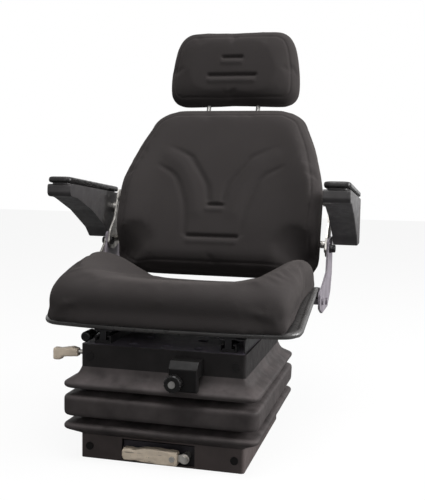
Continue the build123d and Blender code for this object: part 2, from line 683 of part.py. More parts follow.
def coil_springs():
    """Two upright coil springs between the seats of the trays."""
    low = TRAY_PLATE + SPRING_WIRE_RADIUS + RUNNING_GAP
    height = SUSPENSION_HEIGHT - 2 * low
    path = Helix(pitch=height / SPRING_TURNS, height=height, radius=SPRING_RADIUS)
    section = Plane(origin=path @ 0, z_dir=path % 0) * Circle(SPRING_WIRE_RADIUS)
    spring = sweep(section, path=path, is_frenet=True)
    return Part() + [Pos(x, SPRING_Y, low) * spring for x in (-SPRING_X, SPRING_X)]


def bump_stops():
    """Rubber blocks that the outer arms meet at the bottom of the stroke."""
    rear = BUMP_Y + BUMP_LENGTH / 2
    line = LOW_PIVOT_Z + (REAR_PIVOT_Y - rear) * tan(LOW_ANGLE)
    top = line - ARM_HALF_WIDTH / cos(LOW_ANGLE) - FREE_GAP
    x0 = OUTER_ARM_X - BUMP_WIDTH / 2
    stop = block(x0, x0 + BUMP_WIDTH, rear - BUMP_LENGTH, rear, TRAY_PLATE, top)
    return both_sides(fillet(stop.edges().filter_by(Axis.Z), BUMP_WIDTH / 4))


def preload_lever():
    """Flat steel arm with an eye on the pivot bolt."""
    y0 = PRELOAD_ARM_Y - PRELOAD_ARM_THICKNESS / 2
    y1 = PRELOAD_ARM_Y + PRELOAD_ARM_THICKNESS / 2
    low = PRELOAD_Z - PRELOAD_ARM_HALF_WIDTH
    high = PRELOAD_Z + PRELOAD_ARM_HALF_WIDTH
    bar = block(PRELOAD_X - PRELOAD_ARM_REACH, PRELOAD_X, y0, y1, low, high)
    eye = rod_y(PRELOAD_X, PRELOAD_Z, PRELOAD_EYE_RADIUS, y0, y1)
    bore = rod_y(PRELOAD_X, PRELOAD_Z, PRELOAD_BOLT_RADIUS + RUNNING_GAP, y0 - 1, y1 + 1)
    screw = rod_y(GRIP_SCREW_X, PRELOAD_Z, GRIP_SCREW_RADIUS, y0 - 1, y1 + 1)
    return bar + eye - bore - screw


def preload_grip():
    """Moulded grip over the lever's steel arm."""
    y0 = PRELOAD_ARM_Y - GRIP_DEPTH / 2
    y1 = PRELOAD_ARM_Y + GRIP_DEPTH / 2
    low = PRELOAD_Z - GRIP_HEIGHT / 2
    high = PRELOAD_Z + GRIP_HEIGHT / 2
    sag = GRIP_ROUND / 2
    points = [(GRIP_LEFT, low + sag), (GRIP_RIGHT, low), (GRIP_RIGHT, high), (GRIP_LEFT, high - sag)]
    grip = plate_y(points, y0, y1, radius=GRIP_ROUND)
    grip = fillet(grip.faces().sort_by(Axis.Y)[0].edges(), GRIP_EDGE)
    half = PRELOAD_ARM_HALF_WIDTH + FREE_GAP
    front = PRELOAD_ARM_Y - PRELOAD_ARM_THICKNESS / 2 - FREE_GAP
    back = PRELOAD_ARM_Y + PRELOAD_ARM_THICKNESS / 2 + FREE_GAP
    x0 = PRELOAD_X - PRELOAD_ARM_REACH - FREE_GAP
    pocket = block(x0, GRIP_RIGHT + 1, front, back, PRELOAD_Z - half, PRELOAD_Z + half)
    return grip - pocket - rod_y(GRIP_SCREW_X, PRELOAD_Z, GRIP_SCREW_RADIUS, y0 - 1, y1 + 1)


def preload_grip_screw():
    """Screw that holds the grip on its steel arm."""
    front = PRELOAD_ARM_Y - GRIP_DEPTH / 2
    shank = rod_y(GRIP_SCREW_X, PRELOAD_Z, GRIP_SCREW_RADIUS, front, front + GRIP_DEPTH)
    head = rod_y(GRIP_SCREW_X, PRELOAD_Z, GRIP_SCREW_HEAD_RADIUS, front - GRIP_SCREW_HEAD, front)
    return shank + head


def preload_pivot_bolt():
    """Pivot bolt of the preload lever, with its head and the collar behind the eye."""
    front = PRELOAD_ARM_Y - PRELOAD_ARM_THICKNESS / 2 - FREE_GAP
    back = PRELOAD_ARM_Y + PRELOAD_ARM_THICKNESS / 2 + FREE_GAP
    radius = PRELOAD_BOLT_HEAD_RADIUS
    head = rod_y(PRELOAD_X, PRELOAD_Z, radius, front - PRELOAD_BOLT_HEAD, front)
    shank = rod_y(PRELOAD_X, PRELOAD_Z, PRELOAD_BOLT_RADIUS, front, BRACKET_Y)
    return head + shank + rod_y(PRELOAD_X, PRELOAD_Z, radius, back, BRACKET_Y - TRAY_WALL)


def adjuster_housing():
    """Black housing on the upper band; its lower half hangs in front of the top fold."""
    face = -BASE_DEPTH / 2
    foot = HOUSING_TOP - HOUSING_FOOT
    points = [
        (face, foot),
        (HOUSING_REAR, foot),
        (HOUSING_REAR, HOUSING_BOTTOM),
        (HOUSING_FRONT, HOUSING_BOTTOM),
        (HOUSING_FRONT, HOUSING_TOP - HOUSING_BEVEL),
        (HOUSING_FRONT + HOUSING_BEVEL, HOUSING_TOP),
        (face, HOUSING_TOP),
    ]
    made = plate_x(points, HOUSING_LEFT, HOUSING_LEFT + HOUSING_WIDTH)
    made = fillet(made.faces().sort_by(Axis.Y)[0].edges(), GRIP_EDGE)
    radius = SPINDLE_RADIUS + RUNNING_GAP
    return made - rod_y(KNOB_X, KNOB_Z, radius, HOUSING_FRONT - 1, HOUSING_FRONT + SPINDLE_DEPTH)


def adjuster_knob():
    """Fluted knob on the adjuster's spindle."""
    y1 = HOUSING_FRONT - FREE_GAP
    y0 = y1 - KNOB_LENGTH
    knob = rod_y(KNOB_X, KNOB_Z, KNOB_RADIUS, y0, y1)
    knob = chamfer(knob.edges().group_by(Axis.Y)[0], FLUTE_RADIUS)
    reach = KNOB_RADIUS + FLUTE_RADIUS / 3
    for index in range(KNOB_FLUTES):
        turn = radians(360 * index / KNOB_FLUTES)
        place = (KNOB_X + reach * cos(turn), KNOB_Z + reach * sin(turn))
        knob -= rod_y(*place, FLUTE_RADIUS, y0 - 1, y1 + 1)
    return knob - rod_y(KNOB_X, KNOB_Z, SPINDLE_RADIUS, y0 - 1, y1 + 1)


def adjuster_spindle():
    """Steel spindle through the knob, with its bright nose at the front."""
    y0 = HOUSING_FRONT - FREE_GAP - KNOB_LENGTH
    y1 = HOUSING_FRONT + SPINDLE_DEPTH - FREE_GAP
    spindle = rod_y(KNOB_X, KNOB_Z, SPINDLE_RADIUS, y0, y1)
    return spindle + rod_y(KNOB_X, KNOB_Z, SPINDLE_NOSE_RADIUS, y0 - SPINDLE_NOSE, y0)


def height_lever_rod():
    """Steel rod of the height lever, with its pivot eye inside the top tray."""
    x = HEIGHT_LEVER_X
    y = HEIGHT_LEVER_Y
    z = HEIGHT_LEVER_Z
    half = HEIGHT_EYE_WIDTH / 2
    rod = rod_x(y, z, HEIGHT_ROD_RADIUS, HEIGHT_ROD_END, x)
    eye = rod_y(x, z, HEIGHT_EYE_RADIUS, y - half, y + half)
    return rod + eye - rod_y(x, z, HEIGHT_PIN_RADIUS + RUNNING_GAP, y - half - 1, y + half + 1)


def height_lever_grip():
    """Ivory grip on the height lever's rod, with a thumb paddle that hangs at its outer end."""
    x1 = HEIGHT_ROD_END + HEIGHT_GRIP_SOCKET
    x0 = x1 - HEIGHT_GRIP_LENGTH
    paddle = x0 + HEIGHT_PADDLE_WIDTH
    y = HEIGHT_LEVER_Y
    z = HEIGHT_LEVER_Z
    high = z + HEIGHT_GRIP_WIDTH / 2
    low = z - HEIGHT_GRIP_WIDTH / 2
    foot = high - HEIGHT_PADDLE_HEIGHT
    points = [(x0, high - 3), (x0 + 12, high - 4), (x1 - 12, high), (x1, high - 3)]
    points += [(x1, low), (x1 - 8, low), (paddle, low - 2), (paddle - 5, foot), (x0, foot)]
    half = HEIGHT_GRIP_THICKNESS / 2
    grip = plate_y(points, y - half, y + half, radius=GRIP_EDGE / 2)
    ends = grip.faces().filter_by(Plane.XZ)
    grip = fillet(ends.edges(), GRIP_EDGE)
    return grip - rod_x(y, z, HEIGHT_ROD_RADIUS, HEIGHT_ROD_END, x1 + 1)


def lower_rail():
    """Rolled channel on the top tray, with inturned lips."""
    z0 = SUSPENSION_HEIGHT
    z1 = z0 + RAIL_HEIGHT
    x0 = RAIL_X - RAIL_WIDTH / 2
    x1 = RAIL_X + RAIL_WIDTH / 2
    end = RAIL_LENGTH / 2
    past = end + 1
    made = block(x0, x1, -end, end, z0, z1)
    made -= block(x0 + RAIL_WALL, x1 - RAIL_WALL, -past, past, z0 + RAIL_WALL, z1 - RAIL_WALL)
    return made - block(x0 + RAIL_LIP, x1 - RAIL_LIP, -past, past, z0 + RAIL_WALL, z1 + 1)


def upper_rail():
    """Sliding rail: a foot inside the lower rail, a web and a top flange."""
    z0 = SUSPENSION_HEIGHT + RAIL_WALL + FREE_GAP
    end = RAIL_LENGTH / 2
    foot = UPPER_FOOT_WIDTH / 2
    web = UPPER_WEB_WIDTH / 2
    flange = UPPER_FLANGE_WIDTH / 2
    made = block(RAIL_X - foot, RAIL_X + foot, -end, end, z0, z0 + UPPER_WALL)
    made += block(RAIL_X - web, RAIL_X + web, -end, end, z0, PAN_BASE)
    return made + block(RAIL_X - flange, RAIL_X + flange, -end, end, PAN_BASE - UPPER_WALL, PAN_BASE)


def slide_pin():
    """Headed pin under the pan that the slide lever turns on."""
    x = SLIDE_LEVER_X
    y = SLIDE_LEVER_PIVOT_Y
    z1 = SLIDE_LEVER_Z - FREE_GAP
    z0 = z1 - SIDE_PLAY
    shank = rod_z(x, y, SLIDE_PIN_RADIUS, z0, PAN_BASE)
    return shank + rod_z(x, y, SLIDE_PIN_RADIUS + SIDE_PLAY, z0, z1)


def slide_lever():
    """Flat steel lever beside the left rail, from its pin to its grip."""
    x = SLIDE_LEVER_X
    y = SLIDE_LEVER_PIVOT_Y
    z0 = SLIDE_LEVER_Z
    z1 = z0 + SLIDE_LEVER_THICKNESS
    half = SLIDE_LEVER_WIDTH / 2
    bar = block(x - half, x + half, SLIDE_LEVER_END, y, z0, z1)
    eye = rod_z(x, y, half + SIDE_PLAY, z0, z1)
    return bar + eye - rod_z(x, y, SLIDE_PIN_RADIUS + RUNNING_GAP, z0 - 1, z1 + 1)


def slide_lever_grip():
    """Round black grip on the front of the slide lever."""
    z = SLIDE_LEVER_Z + SLIDE_LEVER_THICKNESS / 2
    y1 = SLIDE_LEVER_END + SLIDE_GRIP_LENGTH / 2
    grip = rod_y(SLIDE_LEVER_X, z, SLIDE_GRIP_RADIUS, y1 - SLIDE_GRIP_LENGTH, y1)
    grip = fillet(grip.edges().filter_by(GeomType.CIRCLE), GRIP_EDGE)
    x0 = SLIDE_LEVER_X - SLIDE_LEVER_WIDTH / 2
    x1 = SLIDE_LEVER_X + SLIDE_LEVER_WIDTH / 2
    z0 = SLIDE_LEVER_Z
    return grip - block(x0, x1, SLIDE_LEVER_END, y1 + 1, z0, z0 + SLIDE_LEVER_THICKNESS)


def slide_lock_plate():
    """Zinc lock plate beside the right rail, hung from the pan."""
    y0 = LOCK_PLATE_FRONT
    y1 = LOCK_PLATE_FRONT + LOCK_PLATE_LENGTH
    x0 = RAIL_X + UPPER_FLANGE_WIDTH / 2
    x1 = LOCK_PLATE_X + LOCK_PLATE_WALL
    web = block(LOCK_PLATE_X, x1, y0, y1, PAN_BASE - LOCK_PLATE_HEIGHT, PAN_BASE)
    return web + block(x0, LOCK_PLATE_X, y0, y1, PAN_BASE - LOCK_PLATE_WALL, PAN_BASE)


def pan_plan(grow):
    """The pan's plan, bowed at the front, grown outwards by a distance."""
    side = PAN_HALF_WIDTH
    corner = PAN_FRONT + PAN_BOW
    edges = [
        Line((-side, PAN_REAR), (-side, corner)),
        ThreePointArc((-side, corner), (0, PAN_FRONT), (side, corner)),
        Line((side, corner), (side, PAN_REAR)),
        Line((side, PAN_REAR), (-side, PAN_REAR)),
    ]
    plan = make_face(edges)
    plan = fillet(plan.vertices().group_by(Axis.Y)[0], PAN_FRONT_CORNER)
    plan = fillet(plan.vertices().group_by(Axis.Y)[-1], PAN_REAR_CORNER)
    return offset(plan, grow) if grow else plan


RIM_LINE = [
    (-WIDE / 2, PAN_BASE + PAN_FRONT_RISE),
    (PAN_FRONT + 36, PAN_BASE + PAN_FRONT_RISE),
    (PAN_REAR - 135, PAN_BASE + PAN_SIDE_RISE),
    (PAN_REAR - 90, PAN_BASE + PAN_SIDE_RISE),
    (PAN_REAR - 10, PAN_BASE + PAN_REAR_RISE),
    (WIDE / 2, PAN_BASE + PAN_REAR_RISE),
]


def under_rim(drop, floor):
    """Everything from a floor height up to the rim line less a drop."""
    line = [(y, z - drop) for y, z in RIM_LINE]
    return plate_x([(WIDE / 2, floor), (-WIDE / 2, floor)] + line, -WIDE / 2, WIDE / 2)


def pan_well(grow, floor):
    """The pan's flared well above a floor height, grown outwards by a distance."""
    plan = Pos(0, 0, floor) * pan_plan(grow - PAN_FLARE)
    return extrude(plan, PAN_SIDE_RISE + 1, taper=-degrees(atan2(PAN_FLARE, PAN_SIDE_RISE)))


def well_x(z):
    """How far out the flared side of the well lies at a height."""
    return PAN_HALF_WIDTH - PAN_FLARE + (z - PAN_BASE) * PAN_FLARE / PAN_SIDE_RISE


def side_bolt_places():
    """(y, z) of the two bolts that hold each side arm to the pan."""
    return [
        (PAN_REAR - 115, PAN_BASE + PAN_SIDE_RISE - 24),
        (PAN_REAR - 45, PAN_BASE + PAN_REAR_RISE - 6),
    ]


def seat_pan():
    """Pressed pan: a flared well, a flange around it and a rolled rim beside the bolsters."""
    height = PAN_SIDE_RISE + 1
    outer = pan_well(0, PAN_BASE) & under_rim(0, PAN_BASE)
    flange = extrude(Pos(0, 0, PAN_BASE) * pan_plan(0), height)
    flange &= under_rim(0, PAN_BASE) - under_rim(PAN_WALL, PAN_BASE - 1)
    rim = extrude(Pos(0, 0, PAN_BASE) * (pan_plan(PAN_LIP) - pan_plan(-PAN_WALL)), height)
    rim &= under_rim(0, PAN_BASE) - under_rim(PAN_LIP_HEIGHT, PAN_BASE - 1)
    made = outer + flange + rim - pan_well(-PAN_WALL / 2, PAN_FLOOR)
    for y, z in side_bolt_places():
        made -= rod_x(y, z, SIDE_BOLT_RADIUS, -WIDE / 2, WIDE / 2)
    return made + slide_pin()


CENTRE_LINE = [
    (CUSHION_FRONT + 6, CUSHION_CREST - 46),
    (CUSHION_FRONT, CUSHION_CREST - 26),
    (CUSHION_FRONT + 8, CUSHION_CREST - 9),
    (CUSHION_FRONT + 30, CUSHION_CREST),
    (CUSHION_FRONT + 90, CUSHION_CREST - 4),
    (CUSHION_FRONT + 190, CUSHION_CREST - 22),
    (CUSHION_REAR - 87, CUSHION_REAR_TOP + 4),
    (CUSHION_REAR - 34, CUSHION_REAR_TOP),
    (CUSHION_REAR - 8, CUSHION_REAR_TOP - 8),
    (CUSHION_REAR, CUSHION_REAR_TOP - 18),
]
BOLSTER_LINE = [
    (CUSHION_FRONT + 22, CUSHION_CREST - 46),
    (CUSHION_FRONT + 18, CUSHION_CREST - 24),
    (CUSHION_FRONT + 34, CUSHION_CREST - 4),
    (CUSHION_FRONT + 62, CUSHION_CREST + 10),
    (CUSHION_FRONT + 120, BOLSTER_TOP - 12),
    (CUSHION_FRONT + 190, BOLSTER_TOP - 2),
    (CUSHION_REAR - 127, BOLSTER_TOP),
    (CUSHION_REAR - 58, BOLSTER_TOP - 14),
    (CUSHION_REAR - 30, BOLSTER_TOP - 38),
    (CUSHION_REAR - 22, BOLSTER_TOP - 62),
]
CUSHION_STATIONS = [
    (0.0, 0.0, 0.0),
    (BOLSTER_X - 95, 0.04, 0.0),
    (BOLSTER_X - 58, 0.34, 0.0),
    (BOLSTER_X - 26, 0.82, 0.0),
    (BOLSTER_X, 1.0, 0.0),
    (BOLSTER_X + 14, 0.98, 0.1),
    (CUSHION_HALF_WIDTH - 3, 0.9, 0.36),
    (CUSHION_HALF_WIDTH, 0.86, 0.6),
]


def cushion_section(x, share, pinch):
    """One (y, z) outline between the middle line and the bolster line, pinched at the sides."""
    top = []
    for (y0, z0), (y1, z1) in zip(CENTRE_LINE, BOLSTER_LINE):
        y = y0 + (y1 - y0) * share
        z = z0 + (z1 - z0) * share
        waist = row_value(RIM_LINE, y, 1) + CUSHION_WAIST
        top.append((y, z - (z - waist) * pinch))
    rear = top[-1][0]
    front = top[0][0] + CUSHION_WAIST / 5
    steps = 6
    low = []
    for index in range(steps + 1):
        y = rear + (front - rear) * index / steps
        low.append((y, row_value(RIM_LINE, y, 1) + FREE_GAP + CUSHION_WAIST * pinch))
    return Plane.YZ.offset(x) * make_face(Polyline(*top, *low, close=True))


def seat_cushion():
    """Foam cushion: low in the middle, high side bolsters, and a plug inside the pan."""
    stations = [(-x, share, pinch) for x, share, pinch in reversed(CUSHION_STATIONS[1:])]
    stations += CUSHION_STATIONS
    body = loft([cushion_section(*station) for station in stations], ruled=True)
    plug = pan_well(-PAN_WALL / 2 - FREE_GAP, PAN_FLOOR + FREE_GAP)
    return body + (plug & under_rim(-2 * FREE_GAP, PAN_FLOOR + FREE_GAP))


def side_arm():
    """Stamped steel arm from the pan's side up to the recline hinge, with its bolts."""
    y = RECLINE_Y
    z = RECLINE_Z
    foot = PAN_BASE + SIDE_ARM_FOOT
    points = [
        (y - 143, foot + 15),
        (y - 143, z - 74),
        (y - 92, z - 65),
        (y - 28, z - 46),
        (y - 18, z - 4),
        (y - 18, z + 20),
        (y + 58, z + 22),
        (y + 66, z - 8),
        (y + 66, z - 58),
        (y + 44, z - 96),
        (y - 6, foot),
        (y - 100, foot),
    ]
    x0 = SIDE_ARM_X
    x1 = SIDE_ARM_X + SIDE_ARM_THICKNESS
    made = plate_x(points, x0, x1, radius=9)
    made -= rod_x(y, z, RECLINE_PIN_RADIUS, x0 - 1, x1 + 1)
    for bolt_y, bolt_z in side_bolt_places():
        seat = well_x(bolt_z + SIDE_BOLT_HEAD_RADIUS) + FREE_GAP
        made += rod_x(bolt_y, bolt_z, SIDE_BOLT_RADIUS, well_x(bolt_z), x0)
        made += rod_x(bolt_y, bolt_z, SIDE_BOLT_HEAD_RADIUS, seat, x0)
        made += rod_x(bolt_y, bolt_z, SIDE_BOLT_HEAD_RADIUS, x1, x1 + SIDE_BOLT_HEAD)
    return made


def recline_bolt(spacer):
    """Pivot bolt of the recline hinge, its inner head and its outer knob."""
    y = RECLINE_Y
    z = RECLINE_Z
    inside = BRACKET_X - FREE_GAP
    head = rod_x(y, z, RECLINE_HEAD_RADIUS, inside - RECLINE_HEAD, inside)
    pin = rod_x(y, z, RECLINE_PIN_RADIUS, inside, KNOB_FACE_X)
    knob = rod_x(y, z, RECLINE_KNOB_RADIUS, KNOB_FACE_X, KNOB_FACE_X + RECLINE_KNOB_LENGTH)
    made = head + pin + fillet(knob.edges().sort_by(Axis.X)[-1], RECLINE_HEAD)
    if spacer:
        made += rod_x(y, z, RECLINE_HEAD_RADIUS, SIDE_ARM_X + SIDE_ARM_THICKNESS, KNOB_FACE_X)
    return made


def recline_lever():
    """Release lever on the left pivot bolt, reaching forwards and down to a thumb tab."""
    y = RECLINE_Y
    z = RECLINE_Z
    end_y = y - RECLINE_LEVER_REACH
    end_z = z - RECLINE_LEVER_DROP
    x1 = LEVER_X + RECLINE_LEVER_THICKNESS
    near = Pos(y, z) * Circle(RECLINE_LEVER_END_RADIUS)
    far = Pos(end_y, end_z) * Circle(RECLINE_LEVER_END_RADIUS)
    blade = make_hull(near.edges() + far.edges())
    made = extrude(Plane.YZ.offset(LEVER_X) * blade, RECLINE_LEVER_THICKNESS)
    made += rod_x(y, z, RECLINE_LEVER_RADIUS, LEVER_X, x1)
    made += rod_x(end_y, end_z, RECLINE_TAB_RADIUS, LEVER_X, x1 + RECLINE_TAB_LENGTH)
    return at_left(made - rod_x(y, z, RECLINE_PIN_RADIUS + RUNNING_GAP, LEVER_X - 1, x1 + 1))


BACK_ROWS = [
    (BACK_BOTTOM, BACK_HALF_WIDTH - 38, PAD_FRONT - 24, -2.0),
    (BACK_BOTTOM + 10, BACK_HALF_WIDTH - 14, PAD_FRONT, -1.0),
    (BACK_BOTTOM + 34, BACK_HALF_WIDTH - 1, PAD_FRONT + 12, 4.0),
    (BACK_BOTTOM + 60, BACK_HALF_WIDTH, PAD_FRONT + 10, 30.0),
    (BACK_BOTTOM + 92, BACK_HALF_WIDTH, PAD_FRONT + 8, PAD_FRONT + PAD_WING),
    (BACK_BOTTOM + 196, BACK_HALF_WIDTH, PAD_FRONT, PAD_FRONT + PAD_WING),
    (BACK_BOTTOM + 240, BACK_HALF_WIDTH - 10, PAD_FRONT - 4, PAD_FRONT + PAD_WING - 8),
    (BACK_TOP - 92, BACK_HALF_WIDTH - 26, PAD_FRONT - 12, PAD_FRONT - 4),
    (BACK_TOP - 26, BACK_HALF_WIDTH - BACK_TAPER, PAD_FRONT - 22, PAD_FRONT - 22),
    (BACK_TOP - 5, BACK_HALF_WIDTH - BACK_TAPER - 32, PAD_FRONT - 32, PAD_FRONT - 34),
    (BACK_TOP, BACK_HALF_WIDTH - BACK_TAPER - 54, PAD_FRONT - 44, PAD_FRONT - 44),
]


def pad_section(along, half, front, wing):
    """Cross outline of the backrest pad: flat behind, rounded sides, wings in front."""
    deep = wing + PAD_REAR
    right = [
        (half - 14, PAD_REAR),
        (half - 3, PAD_REAR - 0.2 * deep),
        (half, PAD_REAR - 0.5 * deep),
        (half - 7, PAD_REAR - 0.85 * deep),
        (half - 26, -wing),
        (half - 54, -(0.6 * wing + 0.4 * front)),
        (half - 88, -front),
    ]
    left = [(-x, y) for x, y in reversed(right)]
    return Pos(0, 0, along) * make_face(Polyline(*right, *left, close=True))


def backrest_pad():
    """Foam pad of the backrest, thick at the belly, with side wings."""
    return BACK * loft([pad_section(*row) for row in BACK_ROWS], ruled=True)


def shell_plan(inset):
    """The back shell's outline, inside the pad's outline by an inset."""
    low = BACK_BOTTOM + inset
    high = BACK_TOP - inset
    between = [row[0] for row in BACK_ROWS if low + inset < row[0] < high - inset]
    heights = [low] + between + [high]
    right = [(row_value(BACK_ROWS, height, 1) - inset, height) for height in heights]
    left = [(-x, height) for x, height in reversed(right)]
    return make_face(Polyline(*right, *left, close=True))


def backrest_shell():
    """Moulded back shell behind the pad, with holes for bracket bolts and post guides."""
    face = Plane(origin=(0, PAD_REAR + FREE_GAP, 0), x_dir=(-1, 0, 0), z_dir=(0, 1, 0))
    made = extrude(face * shell_plan(SHELL_INSET), SHELL_DEPTH, taper=SHELL_TAPER)
    hollow = face * shell_plan(SHELL_INSET + SHELL_WALL)
    made -= extrude(hollow, SHELL_DEPTH - SHELL_WALL, taper=SHELL_TAPER)
    for height in (BRACKET_BOLT_LOW, BRACKET_BOLT_HIGH):
        made -= rod_x(POST_DEPTH, height, BRACKET_BOLT_RADIUS, -WIDE / 2, WIDE / 2)
    for x in (-POST_X, POST_X):
        made -= rod_z(x, POST_DEPTH, GUIDE_RADIUS, GUIDE_TOP - GUIDE_LENGTH, WIDE)
    return BACK * made


def backrest_bracket():
    """Zinc bracket beside the pad, with bolts into the shell and the armrest's stub axle."""
    pivot_y, pivot_z = in_back_frame(RECLINE_Y, RECLINE_Z)
    axle_y, axle_z = in_back_frame(ARMREST_PIVOT_Y, ARMREST_PIVOT_Z)
    x0 = BRACKET_X
    x1 = BRACKET_X + BRACKET_THICKNESS
    rear = POST_DEPTH + 2 * BRACKET_BOLT_RADIUS
    points = [
        (pivot_y - 15, pivot_z - 8),
        (pivot_y, pivot_z - 17),
        (pivot_y + 18, pivot_z - 14),
        (rear, BRACKET_BOLT_LOW - 8),
        (rear, BRACKET_HEIGHT - 4),
        (rear - 12, BRACKET_HEIGHT),
        (axle_y - 16, BRACKET_HEIGHT - 10),
        (axle_y - 18, axle_z - 30),
        (pivot_y - 15, pivot_z + 20),
    ]
    made = plate_x(points, x0, x1, radius=5)
    made -= rod_x(pivot_y, pivot_z, RECLINE_PIN_RADIUS + RUNNING_GAP, x0 - 1, x1 + 1)
    made += rod_x(axle_y, axle_z, ARMREST_PIN_RADIUS, x1, x1 + ARMREST_PIN_LENGTH)
    made += rod_x(axle_y, axle_z, ARMREST_PIN_RADIUS + ARMREST_PIN_COLLAR, x1, ARMREST_X - FREE_GAP)
    side = BACK_HALF_WIDTH - SHELL_INSET + FREE_GAP
    collar = BRACKET_BOLT_RADIUS + BRACKET_BOLT_COLLAR
    for height in (BRACKET_BOLT_LOW, BRACKET_BOLT_HIGH):
        made += rod_x(POST_DEPTH, height, BRACKET_BOLT_RADIUS, x0 - BRACKET_BOLT_LENGTH, x0)
        made += rod_x(POST_DEPTH, height, collar, side, x0)
    return BACK * made


def headrest_guides():
    """Sleeves in the shell's top that the headrest posts slide in."""
    low = GUIDE_TOP - GUIDE_LENGTH
    high = GUIDE_TOP + GUIDE_FLANGE
    made = []
    for x in (-POST_X, POST_X):
        sleeve = rod_z(x, POST_DEPTH, GUIDE_RADIUS, low, GUIDE_TOP)
        sleeve += rod_z(x, POST_DEPTH, GUIDE_FLANGE_RADIUS, GUIDE_TOP, high)
        made.append(sleeve - rod_z(x, POST_DEPTH, POST_RADIUS + RUNNING_GAP, low - 1, high + 1))
    return BACK * (Part() + made)


def headrest_posts():
    """Two round posts from the guides up into the headrest."""
    low = GUIDE_TOP - GUIDE_LENGTH - HEAD_TRAVEL - 2 * POST_RADIUS
    high = BACK_TOP + HEAD_RISE + HEAD_LOW + POST_ENTRY
    return BACK * (Part() + [rod_z(x, POST_DEPTH, POST_RADIUS, low, high) for x in (-POST_X, POST_X)])


HEAD_ROWS = [
    (HEAD_LOW, HEAD_HALF_WIDTH - 27, 0.42),
    (HEAD_LOW + 6, HEAD_HALF_WIDTH - 15, 0.68),
    (HEAD_LOW + 22, HEAD_HALF_WIDTH - 2, 0.92),
    (HEAD_LOW + 42, HEAD_HALF_WIDTH, 1.0),
    (HEAD_LOW + 92, HEAD_HALF_WIDTH - 4, 1.0),
    (HEAD_HIGH - 44, HEAD_HALF_WIDTH - HEAD_TAPER / 2, 0.96),
    (HEAD_HIGH - 19, HEAD_HALF_WIDTH - HEAD_TAPER, 0.84),
    (HEAD_HIGH - 6, HEAD_HALF_WIDTH - HEAD_TAPER - 13, 0.62),
    (HEAD_HIGH, HEAD_HALF_WIDTH - HEAD_TAPER - 33, 0.36),
]


def head_section(along, half, share):
    """Cross outline of the headrest at a height: rounded at its four corners."""
    deep = share * HEAD_DEPTH / 2
    right = [
        (half - 46, deep),
        (half - 14, 0.84 * deep),
        (half, 0.4 * deep),
        (half, -0.4 * deep),
        (half - 14, -0.84 * deep),
        (half - 46, -deep),
    ]
    left = [(-x, y) for x, y in reversed(right)]
    return Pos(0, 0, along) * make_face(Polyline(*right, *left, close=True))


def headrest_pad():
    """Foam headrest with sockets for its posts."""
    pad = HEAD * loft([head_section(*row) for row in HEAD_ROWS], ruled=True)
    return pad - headrest_posts()


def armrest_top(y, drop):
    """Height of the armrest's sloping top at a place along it, less a drop."""
    return ARMREST_TOP_Z - (y - ARMREST_FRONT_Y) * tan(radians(ARMREST_TILT)) - drop


def armrest_outline():
    """(y, z) outline of the armrest's housing below its pad."""
    y0 = ARMREST_FRONT_Y
    y1 = ARMREST_FRONT_Y + ARMREST_LENGTH - 4
    drop = ARMREST_PAD + ARMREST_GROOVE
    z0 = ARMREST_PIVOT_Z - ARMREST_BOTTOM
    corners = [
        (y0 + 3, armrest_top(y0 + 3, drop), ARMREST_CORNER),
        (y0 + 1, armrest_top(y0, drop + 25), ARMREST_NOSE_RADIUS),
        (y0 + 32, armrest_top(y0 + 32, drop + 25), ARMREST_CURVE),
        (y0 + 112, ARMREST_PIVOT_Z - 2, ARMREST_CURVE),
        (ARMREST_PIVOT_Y - 49, ARMREST_PIVOT_Z - 44, ARMREST_CURVE / 2),
        (ARMREST_PIVOT_Y - 26, z0, ARMREST_NOSE_RADIUS),
        (y1 - 3, z0, ARMREST_CORNER),
        (y1, armrest_top(y1, drop), ARMREST_CORNER),
    ]
    places = [(y, z) for y, z, _ in corners]
    radii = [radius for _, _, radius in corners]
    return make_face(FilletPolyline(*places, radius=radii, close=True))


def armrest_slab(low, high, inset, edge=0.0):
    """A rounded slab along the armrest's sloping top, between two heights under its top face."""
    width = ARMREST_WIDTH - 2 * inset
    length = ARMREST_LENGTH - 2 * inset
    slab = extrude(Pos(0, 0, low) * RectangleRounded(width, length, width / 4), high - low)
    if edge:
        slab = fillet(slab.faces().sort_by(Axis.Z)[-1].edges(), edge)
    middle = ARMREST_X + ARMREST_WIDTH / 2
    slope = Pos(middle, ARMREST_FRONT_Y, ARMREST_TOP_Z) * Rot(-ARMREST_TILT, 0, 0)
    return slope * Pos(0, ARMREST_LENGTH / 2, 0) * slab


def armrest_body():
    """Hollow armrest housing, open at its outer side, with a boss on the stub axle."""
    x0 = ARMREST_X
    depth = ARMREST_WIDTH - ARMREST_COVER
    axle_end = BRACKET_X + BRACKET_THICKNESS + ARMREST_PIN_LENGTH
    plan = armrest_outline()
    pocket = offset(plan, -ARMREST_WALL)
    made = extrude(Plane.YZ.offset(x0) * plan, depth)
    made -= extrude(Plane.YZ.offset(x0 + ARMREST_WALL) * pocket, depth)
    made += rod_x(ARMREST_PIVOT_Y, ARMREST_PIVOT_Z, ARMREST_BOSS_RADIUS, x0, axle_end)
    radius = ARMREST_PIN_RADIUS + RUNNING_GAP
    made -= rod_x(ARMREST_PIVOT_Y, ARMREST_PIVOT_Z, radius, x0 - 1, axle_end + 1)
    low = -ARMREST_PAD - ARMREST_GROOVE - ARMREST_WALL / 2
    return made + armrest_slab(low, -ARMREST_PAD, ARMREST_COVER + SIDE_PLAY / 2)


def armrest_cover():
    """Outer cover plate of the armrest's housing."""
    x0 = ARMREST_X + ARMREST_WIDTH - ARMREST_COVER
    made = extrude(Plane.YZ.offset(x0) * armrest_outline(), ARMREST_COVER)
    return fillet(made.faces().sort_by(Axis.X)[-1].edges(), ARMREST_COVER / 3)


